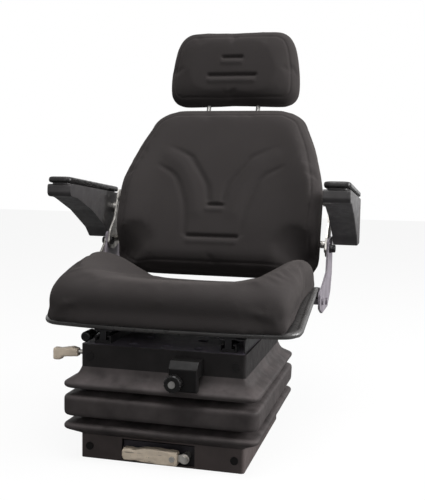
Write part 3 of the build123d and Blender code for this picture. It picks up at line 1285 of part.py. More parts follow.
def armrest_pad():
    """Soft black pad along the armrest's top."""
    return armrest_slab(-ARMREST_PAD, 0, 0, ARMREST_PAD / 3)


nodes = {
    "base_tray": base_tray(),
    "lower_band": lower_band(),
    "bellows": bellows(),
    "lower_band_clips": clips(LOWER_CLIP_Z),
    "lower_roller_channels": roller_channels(LOW_PIVOT_Z, LOWER_ROLLER_X),
    "bump_stops": bump_stops(),
    "coil_springs": coil_springs(),
    "preload_pivot_bolt": preload_pivot_bolt(),
    "preload_lever": preload_lever(),
    "preload_grip": preload_grip(),
    "preload_grip_screw": preload_grip_screw(),
    "outer_arm_right": outer_arm(),
    "outer_arm_left": at_left(outer_arm()),
    "lower_pivot_shaft": shaft(REAR_PIVOT_Y, LOW_PIVOT_Z, PIVOT_RADIUS, LUG_X + LUG_THICKNESS + 1),
    "upper_roller_shaft": shaft(FRONT_PIVOT_Y, HIGH_PIVOT_Z, PIVOT_RADIUS, UPPER_ROLLER_X + ROLLER_WIDTH),
    "damper_rear_pin": shaft(DAMPER_REAR_Y, DAMPER_Z, DAMPER_PIN_RADIUS, OUTER_ARM_X + ARM_THICKNESS / 2),
    "inner_arm_right": inner_arm(),
    "inner_arm_left": at_left(inner_arm()),
    "centre_shaft": shaft(CENTRE_Y, CENTRE_Z, PIVOT_RADIUS, LUG_X),
    "upper_pivot_shaft": shaft(REAR_PIVOT_Y, HIGH_PIVOT_Z, PIVOT_RADIUS, LUG_X + LUG_THICKNESS + 1),
    "lower_roller_shaft": shaft(FRONT_PIVOT_Y, LOW_PIVOT_Z, PIVOT_RADIUS, LOWER_ROLLER_X + ROLLER_WIDTH),
    "damper_front_pin": shaft(DAMPER_FRONT_Y, DAMPER_Z, DAMPER_PIN_RADIUS, INNER_ARM_X + ARM_THICKNESS / 2),
    "lower_rollers": rollers(LOW_PIVOT_Z, LOWER_ROLLER_X),
    "upper_rollers": rollers(HIGH_PIVOT_Z, UPPER_ROLLER_X),
    "damper_tube": damper_tube(),
    "damper_rod": damper_rod(),
    "top_tray": top_tray(),
    "upper_band": upper_band(),
    "upper_band_clips": clips(UPPER_CLIP_Z),
    "upper_roller_channels": roller_channels(HIGH_PIVOT_Z, UPPER_ROLLER_X),
    "adjuster_housing": adjuster_housing(),
    "adjuster_knob": adjuster_knob(),
    "adjuster_spindle": adjuster_spindle(),
    "height_lever_rod": height_lever_rod(),
    "height_lever_grip": height_lever_grip(),
    "lower_rails": both_sides(lower_rail()),
    "upper_rails": both_sides(upper_rail()),
    "slide_lever": slide_lever(),
    "slide_lever_grip": slide_lever_grip(),
    "slide_lock_plate": slide_lock_plate(),
    "seat_pan": seat_pan(),
    "seat_cushion": seat_cushion(),
    "side_arm_right": side_arm(),
    "side_arm_left": at_left(side_arm()),
    "recline_bolts": recline_bolt(True) + at_left(recline_bolt(False)),
    "recline_lever": recline_lever(),
    "backrest_shell": backrest_shell(),
    "backrest_pad": backrest_pad(),
    "backrest_bracket_right": backrest_bracket(),
    "backrest_bracket_left": at_left(backrest_bracket()),
    "headrest_guides": headrest_guides(),
    "headrest_posts": headrest_posts(),
    "headrest_pad": headrest_pad(),
    "armrest_body_right": armrest_body(),
    "armrest_body_left": at_left(armrest_body()),
    "armrest_cover_right": armrest_cover(),
    "armrest_cover_left": at_left(armrest_cover()),
    "armrest_pad_right": armrest_pad(),
    "armrest_pad_left": at_left(armrest_pad()),
}

os.makedirs("parts", exist_ok=True)
for name, solid in nodes.items():
    export_step(solid, f"parts/{name}.step")
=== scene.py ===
import json
import math

import bmesh
import bpy
import numpy as np
from mathutils import Matrix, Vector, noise

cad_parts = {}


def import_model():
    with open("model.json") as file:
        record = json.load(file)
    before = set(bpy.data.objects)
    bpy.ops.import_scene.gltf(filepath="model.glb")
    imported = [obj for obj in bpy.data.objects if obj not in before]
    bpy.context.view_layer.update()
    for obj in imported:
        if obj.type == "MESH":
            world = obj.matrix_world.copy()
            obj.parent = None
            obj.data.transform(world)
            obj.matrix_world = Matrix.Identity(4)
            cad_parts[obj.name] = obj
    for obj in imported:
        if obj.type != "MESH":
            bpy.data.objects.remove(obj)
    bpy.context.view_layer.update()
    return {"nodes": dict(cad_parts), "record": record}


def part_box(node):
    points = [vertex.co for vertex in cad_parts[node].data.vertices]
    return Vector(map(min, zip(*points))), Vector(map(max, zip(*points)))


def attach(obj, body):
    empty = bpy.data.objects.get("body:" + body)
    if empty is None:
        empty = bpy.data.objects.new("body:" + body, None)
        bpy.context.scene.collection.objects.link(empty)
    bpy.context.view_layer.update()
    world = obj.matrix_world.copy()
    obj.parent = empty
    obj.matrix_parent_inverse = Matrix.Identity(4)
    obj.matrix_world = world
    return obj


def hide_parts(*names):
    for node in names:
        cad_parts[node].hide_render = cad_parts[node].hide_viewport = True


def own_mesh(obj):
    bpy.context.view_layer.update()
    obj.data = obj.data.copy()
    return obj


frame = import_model()
NODES = frame["nodes"]
SCENE = bpy.context.scene
MM = 0.001

# Places taken from the CAD, in millimetres
BACK_LEAN = math.radians(20.0)
BACK_PLACE = (221.0, 360.0)
HEAD_LEAN = math.radians(7.0)
HEAD_PLACE = (375.0, 760.0)
RIM_LINE = [(-600.0, 245.0), (-130.0, 245.0), (70.0, 290.0), (115.0, 290.0), (195.0, 262.0), (600.0, 262.0)]
BASE_HALF_X = 150.0
BASE_HALF_Y = 165.0
BASE_CORNER = 6.0
PAN_HALF_WIDTH = 232.0
PAN_FRONT = -166.0
PAN_BOW = 22.0
PAN_REAR = 205.0
PAN_FRONT_CORNER = 38.0
PAN_REAR_CORNER = 40.0
PAN_WALL = 3.0
PAN_LIP = 6.0
RIM_HEIGHT = 8.0

# How far above the rim line the cushion is held, and how far above it the cover is free, in millimetres
HELD_RISE = (1.0, 16.0)
FREE_RISE = (3.0, 30.0)
CREASE = ((118, 190), (128, 110), (136, 20), (150, -70), (168, -130))
CREASE_DEPTH = 2.4
CREASE_WIDTH = 9.0
NOTCH_X = 3.0
NOTCH_HALF_WIDTH = 11.0
NOTCH_DEPTH = 11.0
SEAM_LEVELS = 90
FOLD_REACH = 27.4
FOLD_SHOULDER = 22.0
FOLD_INSIDE = -13.5
BELLOWS_WALL = 2.2
SPRING_WIRE = 3.0
SPRING_TURNS = 8
SPRING_STEPS = 24
SPRING_SIDES = 10
BEAD_REACH = 6.4
BEAD_RISE = 6.0
BEAD_SIDES = 14

SHRINK = 0.5
REGROW = -0.53
CLOTH_FRAMES = 20
CLOTH = {"quality": 4, "mass": 0.3, "tension_stiffness": 12, "compression_stiffness": 12,
         "shear_stiffness": 5, "bending_stiffness": 1.0, "use_pressure": True,
         "uniform_pressure_force": 4.0}

# Camera: turn, drop and roll in degrees, place in metres, lens and sensor in millimetres
CAMERA_TURN, CAMERA_DROP, CAMERA_ROLL = 14.3, 5.5, 0.9
CAMERA_PLACE = (0.4202, -1.466, 0.5131)
CAMERA_LENS = 57.6
CAMERA_SENSOR = 36.0
FLOOR_HALF = 8.0
FLOOR_Z = -0.0006
FLOOR_GLOW = 0.92
WORLD_LIGHT = 0.10


# ---------------------------------------------------------------- mesh helpers
def add_object(name, mesh):
    obj = bpy.data.objects.new(name, mesh)
    SCENE.collection.objects.link(obj)
    return obj


def read(mesh, what):
    values = np.empty(len(mesh.vertices) * 3, np.float32)
    mesh.vertices.foreach_get(what, values)
    return values.reshape(-1, 3).astype(float)


def write(mesh, co):
    mesh.vertices.foreach_set("co", co.astype(np.float32).ravel())
    mesh.update()


def bake(obj):
    """Puts the object's modifiers into its mesh."""
    depsgraph = bpy.context.evaluated_depsgraph_get()
    made = bpy.data.meshes.new_from_object(obj.evaluated_get(depsgraph))
    obj.modifiers.clear()
    obj.data = made


def shade_smooth(mesh):
    mesh.polygons.foreach_set("use_smooth", [True] * len(mesh.polygons))
    mesh.update()


def relax(mesh, rounds, grow=REGROW, weight=None):
    """Takes the facets out of a mesh; with grow at 0 it also rounds its edges."""
    co = read(mesh, "co")
    share = np.ones((len(co), 1)) if weight is None else weight[:, None]
    ends = np.empty(len(mesh.edges) * 2, np.int32)
    mesh.edges.foreach_get("vertices", ends)
    a, b = ends.reshape(-1, 2).T
    count = np.bincount(ends, minlength=len(co)).astype(float)
    for step in range(rounds * 2):
        factor = SHRINK if step % 2 == 0 else grow
        if factor == 0:
            continue
        mean = np.empty_like(co)
        for axis in range(3):
            total = np.bincount(a, co[b, axis], len(co)) + np.bincount(b, co[a, axis], len(co))
            mean[:, axis] = total / count
        co = co + factor * share * (mean - co)
    write(mesh, co)


def smoothstep(value, low, high):
    t = np.clip((value - low) / (high - low), 0.0, 1.0)
    return t * t * (3 - 2 * t)


def row_value(rows, at):
    return np.interp(at, [row[0] for row in rows], [row[1] for row in rows])


def spline(points, steps=8):
    """A smooth line through points, as an array of samples."""
    pts = [np.array(p, float) for p in points]
    pts = [2 * pts[0] - pts[1]] + pts + [2 * pts[-1] - pts[-2]]
    made = []
    for p0, p1, p2, p3 in zip(pts, pts[1:], pts[2:], pts[3:]):
        for step in range(steps):
            t = step / steps
            made.append(0.5 * (2 * p1 + (p2 - p0) * t + (2 * p0 - 5 * p1 + 4 * p2 - p3) * t ** 2
                               + (3 * p1 - p0 - 3 * p2 + p3) * t ** 3))
    made.append(pts[-2])
    return np.array(made)


def line_distance(points, line):
    best = np.full(len(points), np.inf)
    for a, b in zip(line, line[1:]):
        run = b - a
        t = np.clip(((points - a) @ run) / (run @ run), 0, 1)
        best = np.minimum(best, np.linalg.norm(points - a - t[:, None] * run, axis=1))
    return best


def grid_mesh(name, rings, closed_ends=False):
    """A tube of quads through rings of points, each ring closed."""
    count = len(rings[0])
    verts = [tuple(p) for ring in rings for p in ring]
    faces = []
    for r in range(len(rings) - 1):
        for i in range(count):
            j = (i + 1) % count
            faces.append((r * count + i, r * count + j, (r + 1) * count + j, (r + 1) * count + i))
    if closed_ends:
        last = (len(rings) - 1) * count
        faces.append(tuple(reversed(range(count))))
        faces.append(tuple(last + i for i in range(count)))
    mesh = bpy.data.meshes.new(name)
    mesh.from_pydata(verts, [], faces)
    shade_smooth(mesh)
    return mesh


def fit_box(mesh, low, high):
    """Stretches a mesh so that it fills a box again after it was rounded."""
    co = read(mesh, "co")
    least, most = co.min(0), co.max(0)
    write(mesh, low + (co - least) * (high - low) / (most - least))


def soft_copy(node, name, voxel, rounds, held=None):
    """A new piece with the outline of a CAD pad, in small even quads and without facets."""
    mesh = NODES[node].data.copy()
    bm = bmesh.new()
    bm.from_mesh(mesh)
    bmesh.ops.remove_doubles(bm, verts=bm.verts, dist=1e-5)
    bm.to_mesh(mesh)
    bm.free()
    mesh.materials.clear()
    obj = add_object(name, mesh)
    remesh = obj.modifiers.new("remesh", "REMESH")
    remesh.mode = "VOXEL"
    remesh.voxel_size = voxel
    bake(obj)
    co = read(obj.data, "co")
    relax(obj.data, rounds, 0.0, weight=held(co / MM) if held else None)
    fit_box(obj.data, co.min(0), co.max(0))
    return obj


def puff(obj, weight, start, limit):
    """Draws a pad in, blows its cover up with Cloth pressure and caps how far each point goes."""
    mesh = obj.data
    normal = read(mesh, "normal")
    begin = read(mesh, "co") - normal * (start * weight)[:, None]
    write(mesh, begin)
    cloth = obj.modifiers.new("cloth", "CLOTH")
    for key, value in CLOTH.items():
        setattr(cloth.settings, key, value)
    cloth.settings.effector_weights.gravity = 0
    cloth.point_cache.frame_start = 1
    cloth.point_cache.frame_end = CLOTH_FRAMES
    for number in range(1, CLOTH_FRAMES + 1):
        SCENE.frame_set(number)
    depsgraph = bpy.context.evaluated_depsgraph_get()
    blown = bpy.data.meshes.new_from_object(obj.evaluated_get(depsgraph))
    move = read(blown, "co") - begin
    obj.modifiers.clear()
    bpy.data.meshes.remove(blown)
    SCENE.frame_set(1)
    far = np.linalg.norm(move, axis=1) + 1e-9
    write(mesh, begin + move * (np.minimum(1.0, limit / far) * weight)[:, None])
    relax(mesh, 3)
    finer = obj.modifiers.new("finer", "SUBSURF")
    finer.levels = 1
    bake(obj)
    shade_smooth(obj.data)


def settle(obj, body, slot, *nodes):
    """Gives a piece its material, its body and the CAD nodes that it stands for."""
    obj.data.materials.clear()
    obj.data.materials.append(MATERIALS[slot])
    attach(obj, body)
    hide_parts(*nodes)


# ---------------------------------------------------------------- materials
class Look:
    """A Principled material and short ways to add nodes to it."""

    def __init__(self, name):
        self.material = bpy.data.materials.new(name)
        self.material.use_nodes = True
        self.tree = self.material.node_tree
        self.shader = self.tree.nodes["Principled BSDF"]
        self.coords = self.add("ShaderNodeTexCoord")

    def add(self, kind, **values):
        node = self.tree.nodes.new(kind)
        for key, value in values.items():
            setattr(node, key, value)
        return node

    def link(self, output, target):
        self.tree.links.new(output, target)

    def noise(self, scale, detail=4.0, stretch=(1, 1, 1), low=0.35, high=0.65):
        place = self.add("ShaderNodeMapping")
        place.inputs["Scale"].default_value = stretch
        self.link(self.coords.outputs["Object"], place.inputs["Vector"])
        made = self.add("ShaderNodeTexNoise")
        made.inputs["Scale"].default_value = scale
        made.inputs["Detail"].default_value = detail
        self.link(place.outputs["Vector"], made.inputs["Vector"])
        return self.range(made.outputs["Fac"], low, high, 0.0, 1.0)

    def range(self, value, low, high, to_low, to_high):
        node = self.add("ShaderNodeMapRange", clamp=True)
        for key, number in (("From Min", low), ("From Max", high), ("To Min", to_low), ("To Max", to_high)):
            node.inputs[key].default_value = number
        self.link(value, node.inputs["Value"])
        return node.outputs["Result"]

    def maths(self, operation, a, b):
        node = self.add("ShaderNodeMath", operation=operation)
        for socket, value in zip(node.inputs, (a, b)):
            if isinstance(value, (int, float)):
                socket.default_value = value
            else:
                self.link(value, socket)
        return node.outputs["Value"]

    def mix(self, fac, a, b):
        node = self.add("ShaderNodeMixRGB")
        for key, value in (("Fac", fac), ("Color1", a), ("Color2", b)):
            if isinstance(value, tuple):
                node.inputs[key].default_value = (*value, 1.0)
            elif isinstance(value, (int, float)):
                node.inputs[key].default_value = value
            else:
                self.link(value, node.inputs[key])
        return node.outputs["Color"]

    def edges(self, radius):
        """(softened normal, mask of the sharp edges)."""
        bevel = self.add("ShaderNodeBevel", samples=4)
        bevel.inputs["Radius"].default_value = radius
        geometry = self.add("ShaderNodeNewGeometry")
        dot = self.add("ShaderNodeVectorMath", operation="DOT_PRODUCT")
        self.link(bevel.outputs["Normal"], dot.inputs[0])
        self.link(geometry.outputs["Normal"], dot.inputs[1])
        return bevel.outputs["Normal"], self.range(dot.outputs["Value"], 0.97, 0.8, 0.0, 1.0)

    def bump(self, height, distance, normal=None):
        node = self.add("ShaderNodeBump")
        node.inputs["Strength"].default_value = 1.0
        node.inputs["Distance"].default_value = distance
        self.link(height, node.inputs["Height"])
        if normal is not None:
            self.link(normal, node.inputs["Normal"])
        return node.outputs["Normal"]


def tint(colour, factor):
    return tuple(min(1.0, c * factor) for c in colour)


def surface(name, colour, rough, metallic=0.0, mottle=(28.0, 0.18), grain=(1400.0, 0.00004), bevel=0.0,
            dust_and_sheen=None, wear=None, scuffs=None, low=None, sockets=()):
    """A hard or rubbery surface: colour variation, grain, dust with a painted highlight on upward faces,
    worn edges, scuffs and another colour low down (painted floor-bounce light on the black plastic).
    """
    look = Look(name)
    patches = look.noise(mottle[0], 6.0)
    paint = look.mix(patches, tint(colour, 1 - mottle[1]), tint(colour, 1 + mottle[1]))
    shine = look.range(look.noise(mottle[0] * 3), 0, 1, rough - 0.06, rough + 0.08)
    normal = None
    if bevel:
        normal, edge = look.edges(bevel)
        if wear:
            mask = look.maths("MULTIPLY", edge, look.noise(160.0, 5.0))
            paint = look.mix(look.maths("MULTIPLY", mask, wear[1]), paint, wear[0])
    # Below about 5 cm another colour is mixed in: on the black plastic a lighter one, painted floor-bounce
    # light on the lower band; on the tray steel a darker one, so it gets darker towards the bottom.
    if low:
        height = look.add("ShaderNodeSeparateXYZ")
        look.link(look.coords.outputs["Object"], height.inputs["Vector"])
        near = look.range(height.outputs["Z"], 0.045, 0.06, low[1], 0.0)
        patchy = look.range(look.noise(16.0, 6.0), 0, 1, 0.6, 1.0)
        paint = look.mix(look.maths("MULTIPLY", near, patchy), paint, low[0])
    # Lighter on upward faces: grey dust, and on the bellows, where it is strong, a painted highlight on the
    # tops of the folds.
    if dust_and_sheen:
        parts = look.add("ShaderNodeSeparateXYZ")
        look.link(look.coords.outputs["Normal"], parts.inputs["Vector"])
        up = look.range(parts.outputs["Z"], 0.15, 0.95, 0.25, 1.0)
        mask = look.maths("MULTIPLY", up, look.noise(34.0, 7.0, low=0.3, high=0.75))
        mask = look.maths("MULTIPLY", mask, dust_and_sheen[1])
        paint = look.mix(mask, paint, dust_and_sheen[0])
        shine = look.maths("ADD", shine, look.maths("MULTIPLY", mask, 0.35))
    if scuffs:
        lines = look.noise(22.0, 8.0, stretch=(1, 2, 14), low=0.62, high=0.66)
        spots = look.noise(240.0, 3.0, low=0.66, high=0.72)
        mask = look.maths("MULTIPLY", look.maths("MAXIMUM", lines, spots), scuffs[1])
        paint = look.mix(mask, paint, scuffs[0])
    fine = look.noise(grain[0], 3.0, low=0.2, high=0.8)
    look.link(look.bump(fine, grain[1], normal), look.shader.inputs["Normal"])
    look.link(paint, look.shader.inputs["Base Color"])
    look.link(shine, look.shader.inputs["Roughness"])
    look.shader.inputs["Metallic"].default_value = metallic
    for key, value in sockets:
        look.shader.inputs[key].default_value = value
    return look.material


def fabric(name, colour):
    """Dark woven seat cloth: a fine weave, soft fuzz and slightly rubbed patches."""
    look = Look(name)
    facing = look.add("ShaderNodeSeparateXYZ")
    look.link(look.coords.outputs["Normal"], facing.inputs["Vector"])
    weave = None
    for direction in ("X", "Y", "Z"):
        wave = look.add("ShaderNodeTexWave", wave_type="BANDS", bands_direction=direction)
        wave.inputs["Scale"].default_value = 170.0
        wave.inputs["Distortion"].default_value = 1.2
        wave.inputs["Detail"].default_value = 1.0
        look.link(look.coords.outputs["Object"], wave.inputs["Vector"])
        across = look.range(look.maths("ABSOLUTE", facing.outputs[direction], 0.0), 0.25, 0.7, 1.0, 0.0)
        thread = look.maths("MULTIPLY", look.maths("SUBTRACT", wave.outputs["Fac"], 0.5), across)
        weave = thread if weave is None else look.maths("ADD", weave, thread)
    fuzz = look.noise(700.0, 4.0, low=0.25, high=0.75)
    rubbed = look.noise(9.0, 5.0, low=0.3, high=0.7)
    paint = look.mix(look.range(weave, -0.7, 0.7, 0, 1), tint(colour, 0.86), tint(colour, 1.14))
    paint = look.mix(look.maths("MULTIPLY", fuzz, 0.35), paint, tint((colour[0] * 1.12, *colour[1:]), 1.25))
    paint = look.mix(look.maths("MULTIPLY", rubbed, 0.3), paint, tint(colour, 1.5))
    look.link(paint, look.shader.inputs["Base Color"])
    height = look.maths("ADD", look.maths("MULTIPLY", weave, 0.33), look.maths("MULTIPLY", fuzz, 0.7))
    look.link(look.bump(height, 0.0003), look.shader.inputs["Normal"])
    for key, value in (("Roughness", 0.92), ("Sheen Weight", 0.08), ("Sheen Roughness", 0.5),
                       ("Specular IOR Level", 0.06)):
        look.shader.inputs[key].default_value = value
    look.shader.inputs["Sheen Tint"].default_value = (1.0, 0.9, 0.86, 1.0)
    return look.material


# Grey for dust on upward faces; on the bellows it also gives a painted highlight.
GREY_DUST_AND_SHEEN = (0.15, 0.13, 0.13)
BARE_METAL = (0.26, 0.25, 0.24)
WORN_PLASTIC = (0.075, 0.068, 0.066)
DARK_SCUFF = (0.07, 0.05, 0.04)
DULL = (("Specular IOR Level", 0.12),)
SATIN = (("Specular IOR Level", 0.25),)
MATERIALS = {
    "tray_steel": surface("tray_steel", (0.125, 0.112, 0.138), 0.46, bevel=0.0008, wear=(BARE_METAL, 0.4),
                          dust_and_sheen=(GREY_DUST_AND_SHEEN, 0.12), low=((0.010, 0.009, 0.010), 0.95), sockets=SATIN),
    # The black plastic's low colour is a lighter lower band, painted floor-bounce light.
    "black_plastic": surface("black_plastic", (0.0170, 0.0155, 0.0155), 0.46, grain=(1100.0, 0.00006),
                             bevel=0.0014, wear=(WORN_PLASTIC, 0.5), dust_and_sheen=(GREY_DUST_AND_SHEEN, 0.05),
                             low=((0.115, 0.095, 0.092), 0.9), sockets=DULL),
    # The bellows' strong grey on upward faces is mostly a painted highlight on the fold tops, with some
    # dust.
    "bellows_rubber": surface("bellows_rubber", (0.043, 0.0375, 0.0370), 0.50, grain=(900.0, 0.00008),
                              dust_and_sheen=(GREY_DUST_AND_SHEEN, 0.62), mottle=(18.0, 0.22), sockets=DULL),
    "clip_plastic": surface("clip_plastic", (0.012, 0.011, 0.011), 0.4, bevel=0.0008,
                            wear=(WORN_PLASTIC, 0.4), sockets=DULL),
    "zinc_steel": surface("zinc_steel", (0.50, 0.48, 0.45), 0.34, metallic=0.9, bevel=0.0006,
                          mottle=(90.0, 0.25), scuffs=((0.16, 0.14, 0.12), 0.6)),
    "bump_rubber": surface("bump_rubber", (0.018, 0.017, 0.017), 0.7, bevel=0.001, sockets=DULL),
    "spring_steel": surface("spring_steel", (0.035, 0.035, 0.038), 0.32,
                            scuffs=((0.16, 0.10, 0.06), 0.3)),
    "ivory_plastic": surface("ivory_plastic", (0.80, 0.68, 0.54), 0.46, grain=(500.0, 0.0001),
                             mottle=(60.0, 0.08), scuffs=(DARK_SCUFF, 0.8)),
    "arm_steel": surface("arm_steel", (0.014, 0.013, 0.0145), 0.36, bevel=0.0008,
                         wear=(BARE_METAL, 0.5), sockets=SATIN),
    "shaft_steel": surface("shaft_steel", (0.30, 0.295, 0.285), 0.36, metallic=1.0, mottle=(80.0, 0.2)),
    "roller_plastic": surface("roller_plastic", (0.62, 0.60, 0.54), 0.5, bevel=0.0008,
                              scuffs=((0.12, 0.11, 0.10), 0.5)),
    "damper_paint": surface("damper_paint", (0.03, 0.03, 0.032), 0.3, bevel=0.0006,
                            wear=(BARE_METAL, 0.4)),
    "housing_plastic": surface("housing_plastic", (0.0075, 0.0070, 0.0070), 0.40, bevel=0.0016,
                               wear=(WORN_PLASTIC, 0.5), sockets=DULL),
    "knob_plastic": surface("knob_plastic", (0.0070, 0.0068, 0.0068), 0.28, bevel=0.0012,
                            wear=(WORN_PLASTIC, 0.4), sockets=SATIN),
    "pan_paint": surface("pan_paint", (0.058, 0.056, 0.055), 0.30, bevel=0.002,
                         wear=((0.12, 0.11, 0.10), 0.6), dust_and_sheen=(GREY_DUST_AND_SHEEN, 0.08)),
    "side_arm_paint": surface("side_arm_paint", (0.255, 0.232, 0.262), 0.4, bevel=0.001,
                              wear=((0.40, 0.37, 0.38), 0.6), scuffs=((0.10, 0.09, 0.10), 0.5),
                              sockets=SATIN),
    "shell_plastic": surface("shell_plastic", (0.014, 0.0135, 0.0135), 0.5, grain=(700.0, 0.00015),
                             bevel=0.0015, wear=(WORN_PLASTIC, 0.4), sockets=DULL),
    "armrest_plastic": surface("armrest_plastic", (0.0560, 0.0530, 0.0540), 0.38, grain=(800.0, 0.00012),
                               bevel=0.0016, wear=(WORN_PLASTIC, 0.5), dust_and_sheen=(GREY_DUST_AND_SHEEN, 0.05),
                               sockets=SATIN),
    "armrest_skin": surface("armrest_skin", (0.0150, 0.0142, 0.0142), 0.30, grain=(650.0, 0.00018),
                            dust_and_sheen=(GREY_DUST_AND_SHEEN, 0.04), sockets=SATIN),
    "seat_fabric": fabric("seat_fabric", (0.0355, 0.0325, 0.0322)),
}
for part in frame["record"]["subparts"]:
    node = NODES[part["node"]]
    if not node.material_slots:
        node.data.materials.append(None)
    for place in node.material_slots:
        place.material = MATERIALS[part["material_slot"]]


# ---------------------------------------------------------------- cushions
def seat_cushion():
    """The seat cushion: crowned front, high side bolsters and a small notch at the rear."""
    obj = soft_copy("seat_cushion", "seat_cushion_cover", voxel=0.0056, rounds=70,
                    held=lambda co: smoothstep(co[:, 2] - row_value(RIM_LINE, co[:, 1]), *HELD_RISE))
    co = read(obj.data, "co") / MM
    free = smoothstep(co[:, 2] - row_value(RIM_LINE, co[:, 1]), *FREE_RISE)
    puff(obj, free, start=3.0 * MM, limit=5.0 * MM)
    mesh = obj.data
    co = read(mesh, "co") / MM
    x, y, z = co.T
    # the dish's edge: a soft crease where each bolster rises from the middle
    for side in (1, -1):
        crease = spline([(side * a, b) for a, b in CREASE])
        near = line_distance(np.stack([x, y], 1), crease)
        over = smoothstep(z, 265.0, 290.0) * smoothstep(-y, -185.0, -150.0) * smoothstep(y, -140.0, -40.0)
        co[:, 2] -= CREASE_DEPTH * np.exp(-(near / CREASE_WIDTH) ** 2) * over
    notch = np.clip(1 - np.abs(x - NOTCH_X) / NOTCH_HALF_WIDTH, 0, 1)
    notch = notch * smoothstep(y, 160.0, 186.0) * smoothstep(z, 262.0, 280.0)
    co[:, 2] -= NOTCH_DEPTH * notch
    write(mesh, co * MM)
    settle(obj, "carriage", "seat_fabric", "seat_cushion")


def leaning(lean):
    """The upward and forward directions of a pad that leans back."""
    return np.array([0.0, math.sin(lean), math.cos(lean)]), np.array([0.0, -math.cos(lean), math.sin(lean)])


def emboss(mesh, place, lean, lines, bulges):
    """Presses sewn channels into the front of a pad; x and height are along its leaning plane."""
    co = read(mesh, "co") / MM
    normal = read(mesh, "normal")
    up, front = leaning(lean)
    offset = co - np.array([0.0, *place])
    flat = np.stack([co[:, 0], offset @ up], 1)
    facing = smoothstep(normal @ front, 0.25, 0.7)
    move = np.zeros(len(co))
    for line, depth, width, fade in lines:
        near = line_distance(flat, line)
        strength = depth * np.exp(-(near / width) ** 2)
        if fade:
            strength = strength * smoothstep(-flat[:, 1], -fade[1], -fade[0])
        move -= strength
    for line, height, width in bulges:
        move += height * np.exp(-(line_distance(flat, line) / width) ** 2)
    co += front * (move * facing)[:, None]
    write(mesh, co * MM)


def outline_seam(mesh, place, lean, inset, depth, width):
    """A sewn edge seam that follows the pad's outline at an inset."""
    co = read(mesh, "co") / MM
    normal = read(mesh, "normal")
    up, front = leaning(lean)
    along = (co - np.array([0.0, *place])) @ up
    low, high = along.min(), along.max()
    levels = np.linspace(low, high, SEAM_LEVELS)
    last = SEAM_LEVELS - 1
    slot = np.clip(((along - low) / (high - low) * last).round().astype(int), 0, last)
    half = np.zeros(SEAM_LEVELS)
    np.maximum.at(half, slot, np.abs(co[:, 0]))
    half = np.convolve(np.pad(half, 2, mode="edge"), np.ones(5) / 5, "valid")
    rim = [np.array([w, s]) for w, s in zip(half, levels)]
    rim = [np.array([0.0, low])] + rim + [np.array([0.0, high])]
    near = line_distance(np.stack([np.abs(co[:, 0]), along], 1), rim)
    seam = depth * np.exp(-((near - inset) / width) ** 2) * smoothstep(normal @ front, 0.15, 0.5)
    co -= front * seam[:, None]
    write(mesh, co * MM)


def both(points):
    """A line on the right half of a pad and its mirror on the left."""
    return [spline(points), spline([(-x, s) for x, s in points])]


def backrest_pad():
    """The backrest cushion with its pressed V pattern and two short channels."""
    obj = soft_copy("backrest_pad", "backrest_cover", voxel=0.0052, rounds=44)
    co = read(obj.data, "co") / MM
    lean = BACK_LEAN
    depth = -(co[:, 1] - BACK_PLACE[0]) * math.cos(lean) + (co[:, 2] - BACK_PLACE[1]) * math.sin(lean)
    puff(obj, smoothstep(depth, -8.0, 12.0), start=3.0 * MM, limit=5.0 * MM)
    outline_seam(obj.data, BACK_PLACE, lean, inset=20.0, depth=1.8, width=2.6)
    lines = [(line, 3.6, 6.5, (185.0, 222.0))
             for line in both([(122, 216), (74, 190), (57, 170), (25, 120), (17, 86)])]
    lines += [(line, 3.2, 6.0, (150.0, 176.0))
              for line in both([(137, 166), (97, 137), (75, 91), (65, 52), (62, 8)])]
    lines.append((spline([(-15, 73), (15, 73)]), 6.5, 4.6, None))
    lines.append((spline([(-54, 1), (54, 1)]), 6.5, 4.6, None))
    bulges = [(spline([(-15, 62), (15, 62)]), 2.2, 6.0), (spline([(-50, -11), (50, -11)]), 2.2, 6.0)]
    for side in (1, -1):
        between = spline([(side * 118, 190), (side * 82, 160), (side * 54, 110), (side * 42, 60)])
        bulges.append((between, 2.4, 16.0))
    emboss(obj.data, BACK_PLACE, lean, lines, bulges)
    settle(obj, "backrest", "seat_fabric", "backrest_pad")


def headrest_pad():
    """The headrest cushion with two pressed channels."""
    obj = soft_copy("headrest_pad", "headrest_cover", voxel=0.0046, rounds=34)
    puff(obj, np.ones(len(obj.data.vertices)), start=2.5 * MM, limit=4.5 * MM)
    outline_seam(obj.data, HEAD_PLACE, HEAD_LEAN, inset=17.0, depth=1.4, width=2.4)
    lines = [(spline([(-21, 11), (21, 11)]), 5.5, 4.0, None),
             (spline([(-53, -30), (53, -30)]), 6.0, 4.4, None)]
    bulges = [(spline([(-20, 0), (20, 0)]), 1.8, 5.5), (spline([(-50, -42), (50, -42)]), 2.0, 5.5)]
    emboss(obj.data, HEAD_PLACE, HEAD_LEAN, lines, bulges)
    settle(obj, "headrest", "seat_fabric", "headrest_pad")


def armrest_pad(side):
    """Soft moulded skin pad of one armrest, with a full rounded edge."""
    node = "armrest_pad_" + side
    obj = soft_copy(node, node + "_skin", voxel=0.0026, rounds=4)
    finer = obj.modifiers.new("finer", "SUBSURF")
    finer.levels = 1
    bake(obj)
    shade_smooth(obj.data)
    settle(obj, "armrest_" + side, "armrest_skin", node)


# ---------------------------------------------------------------- bellows and springs
def rounded(points, reach, steps=5):
    """A profile with each corner rounded by a quadratic curve that starts at most reach from it."""
    pts = [np.array(p, float) for p in points]
    made = [pts[0]]
    for before, corner, after in zip(pts, pts[1:], pts[2:]):
        start = corner + (before - corner) * min(0.48, reach / np.linalg.norm(before - corner))
        end = corner + (after - corner) * min(0.48, reach / np.linalg.norm(after - corner))
        for step in range(steps + 1):
            t = step / steps
            made.append((1 - t) ** 2 * start + 2 * t * (1 - t) * corner + t ** 2 * end)
    made.append(pts[-1])
    return made


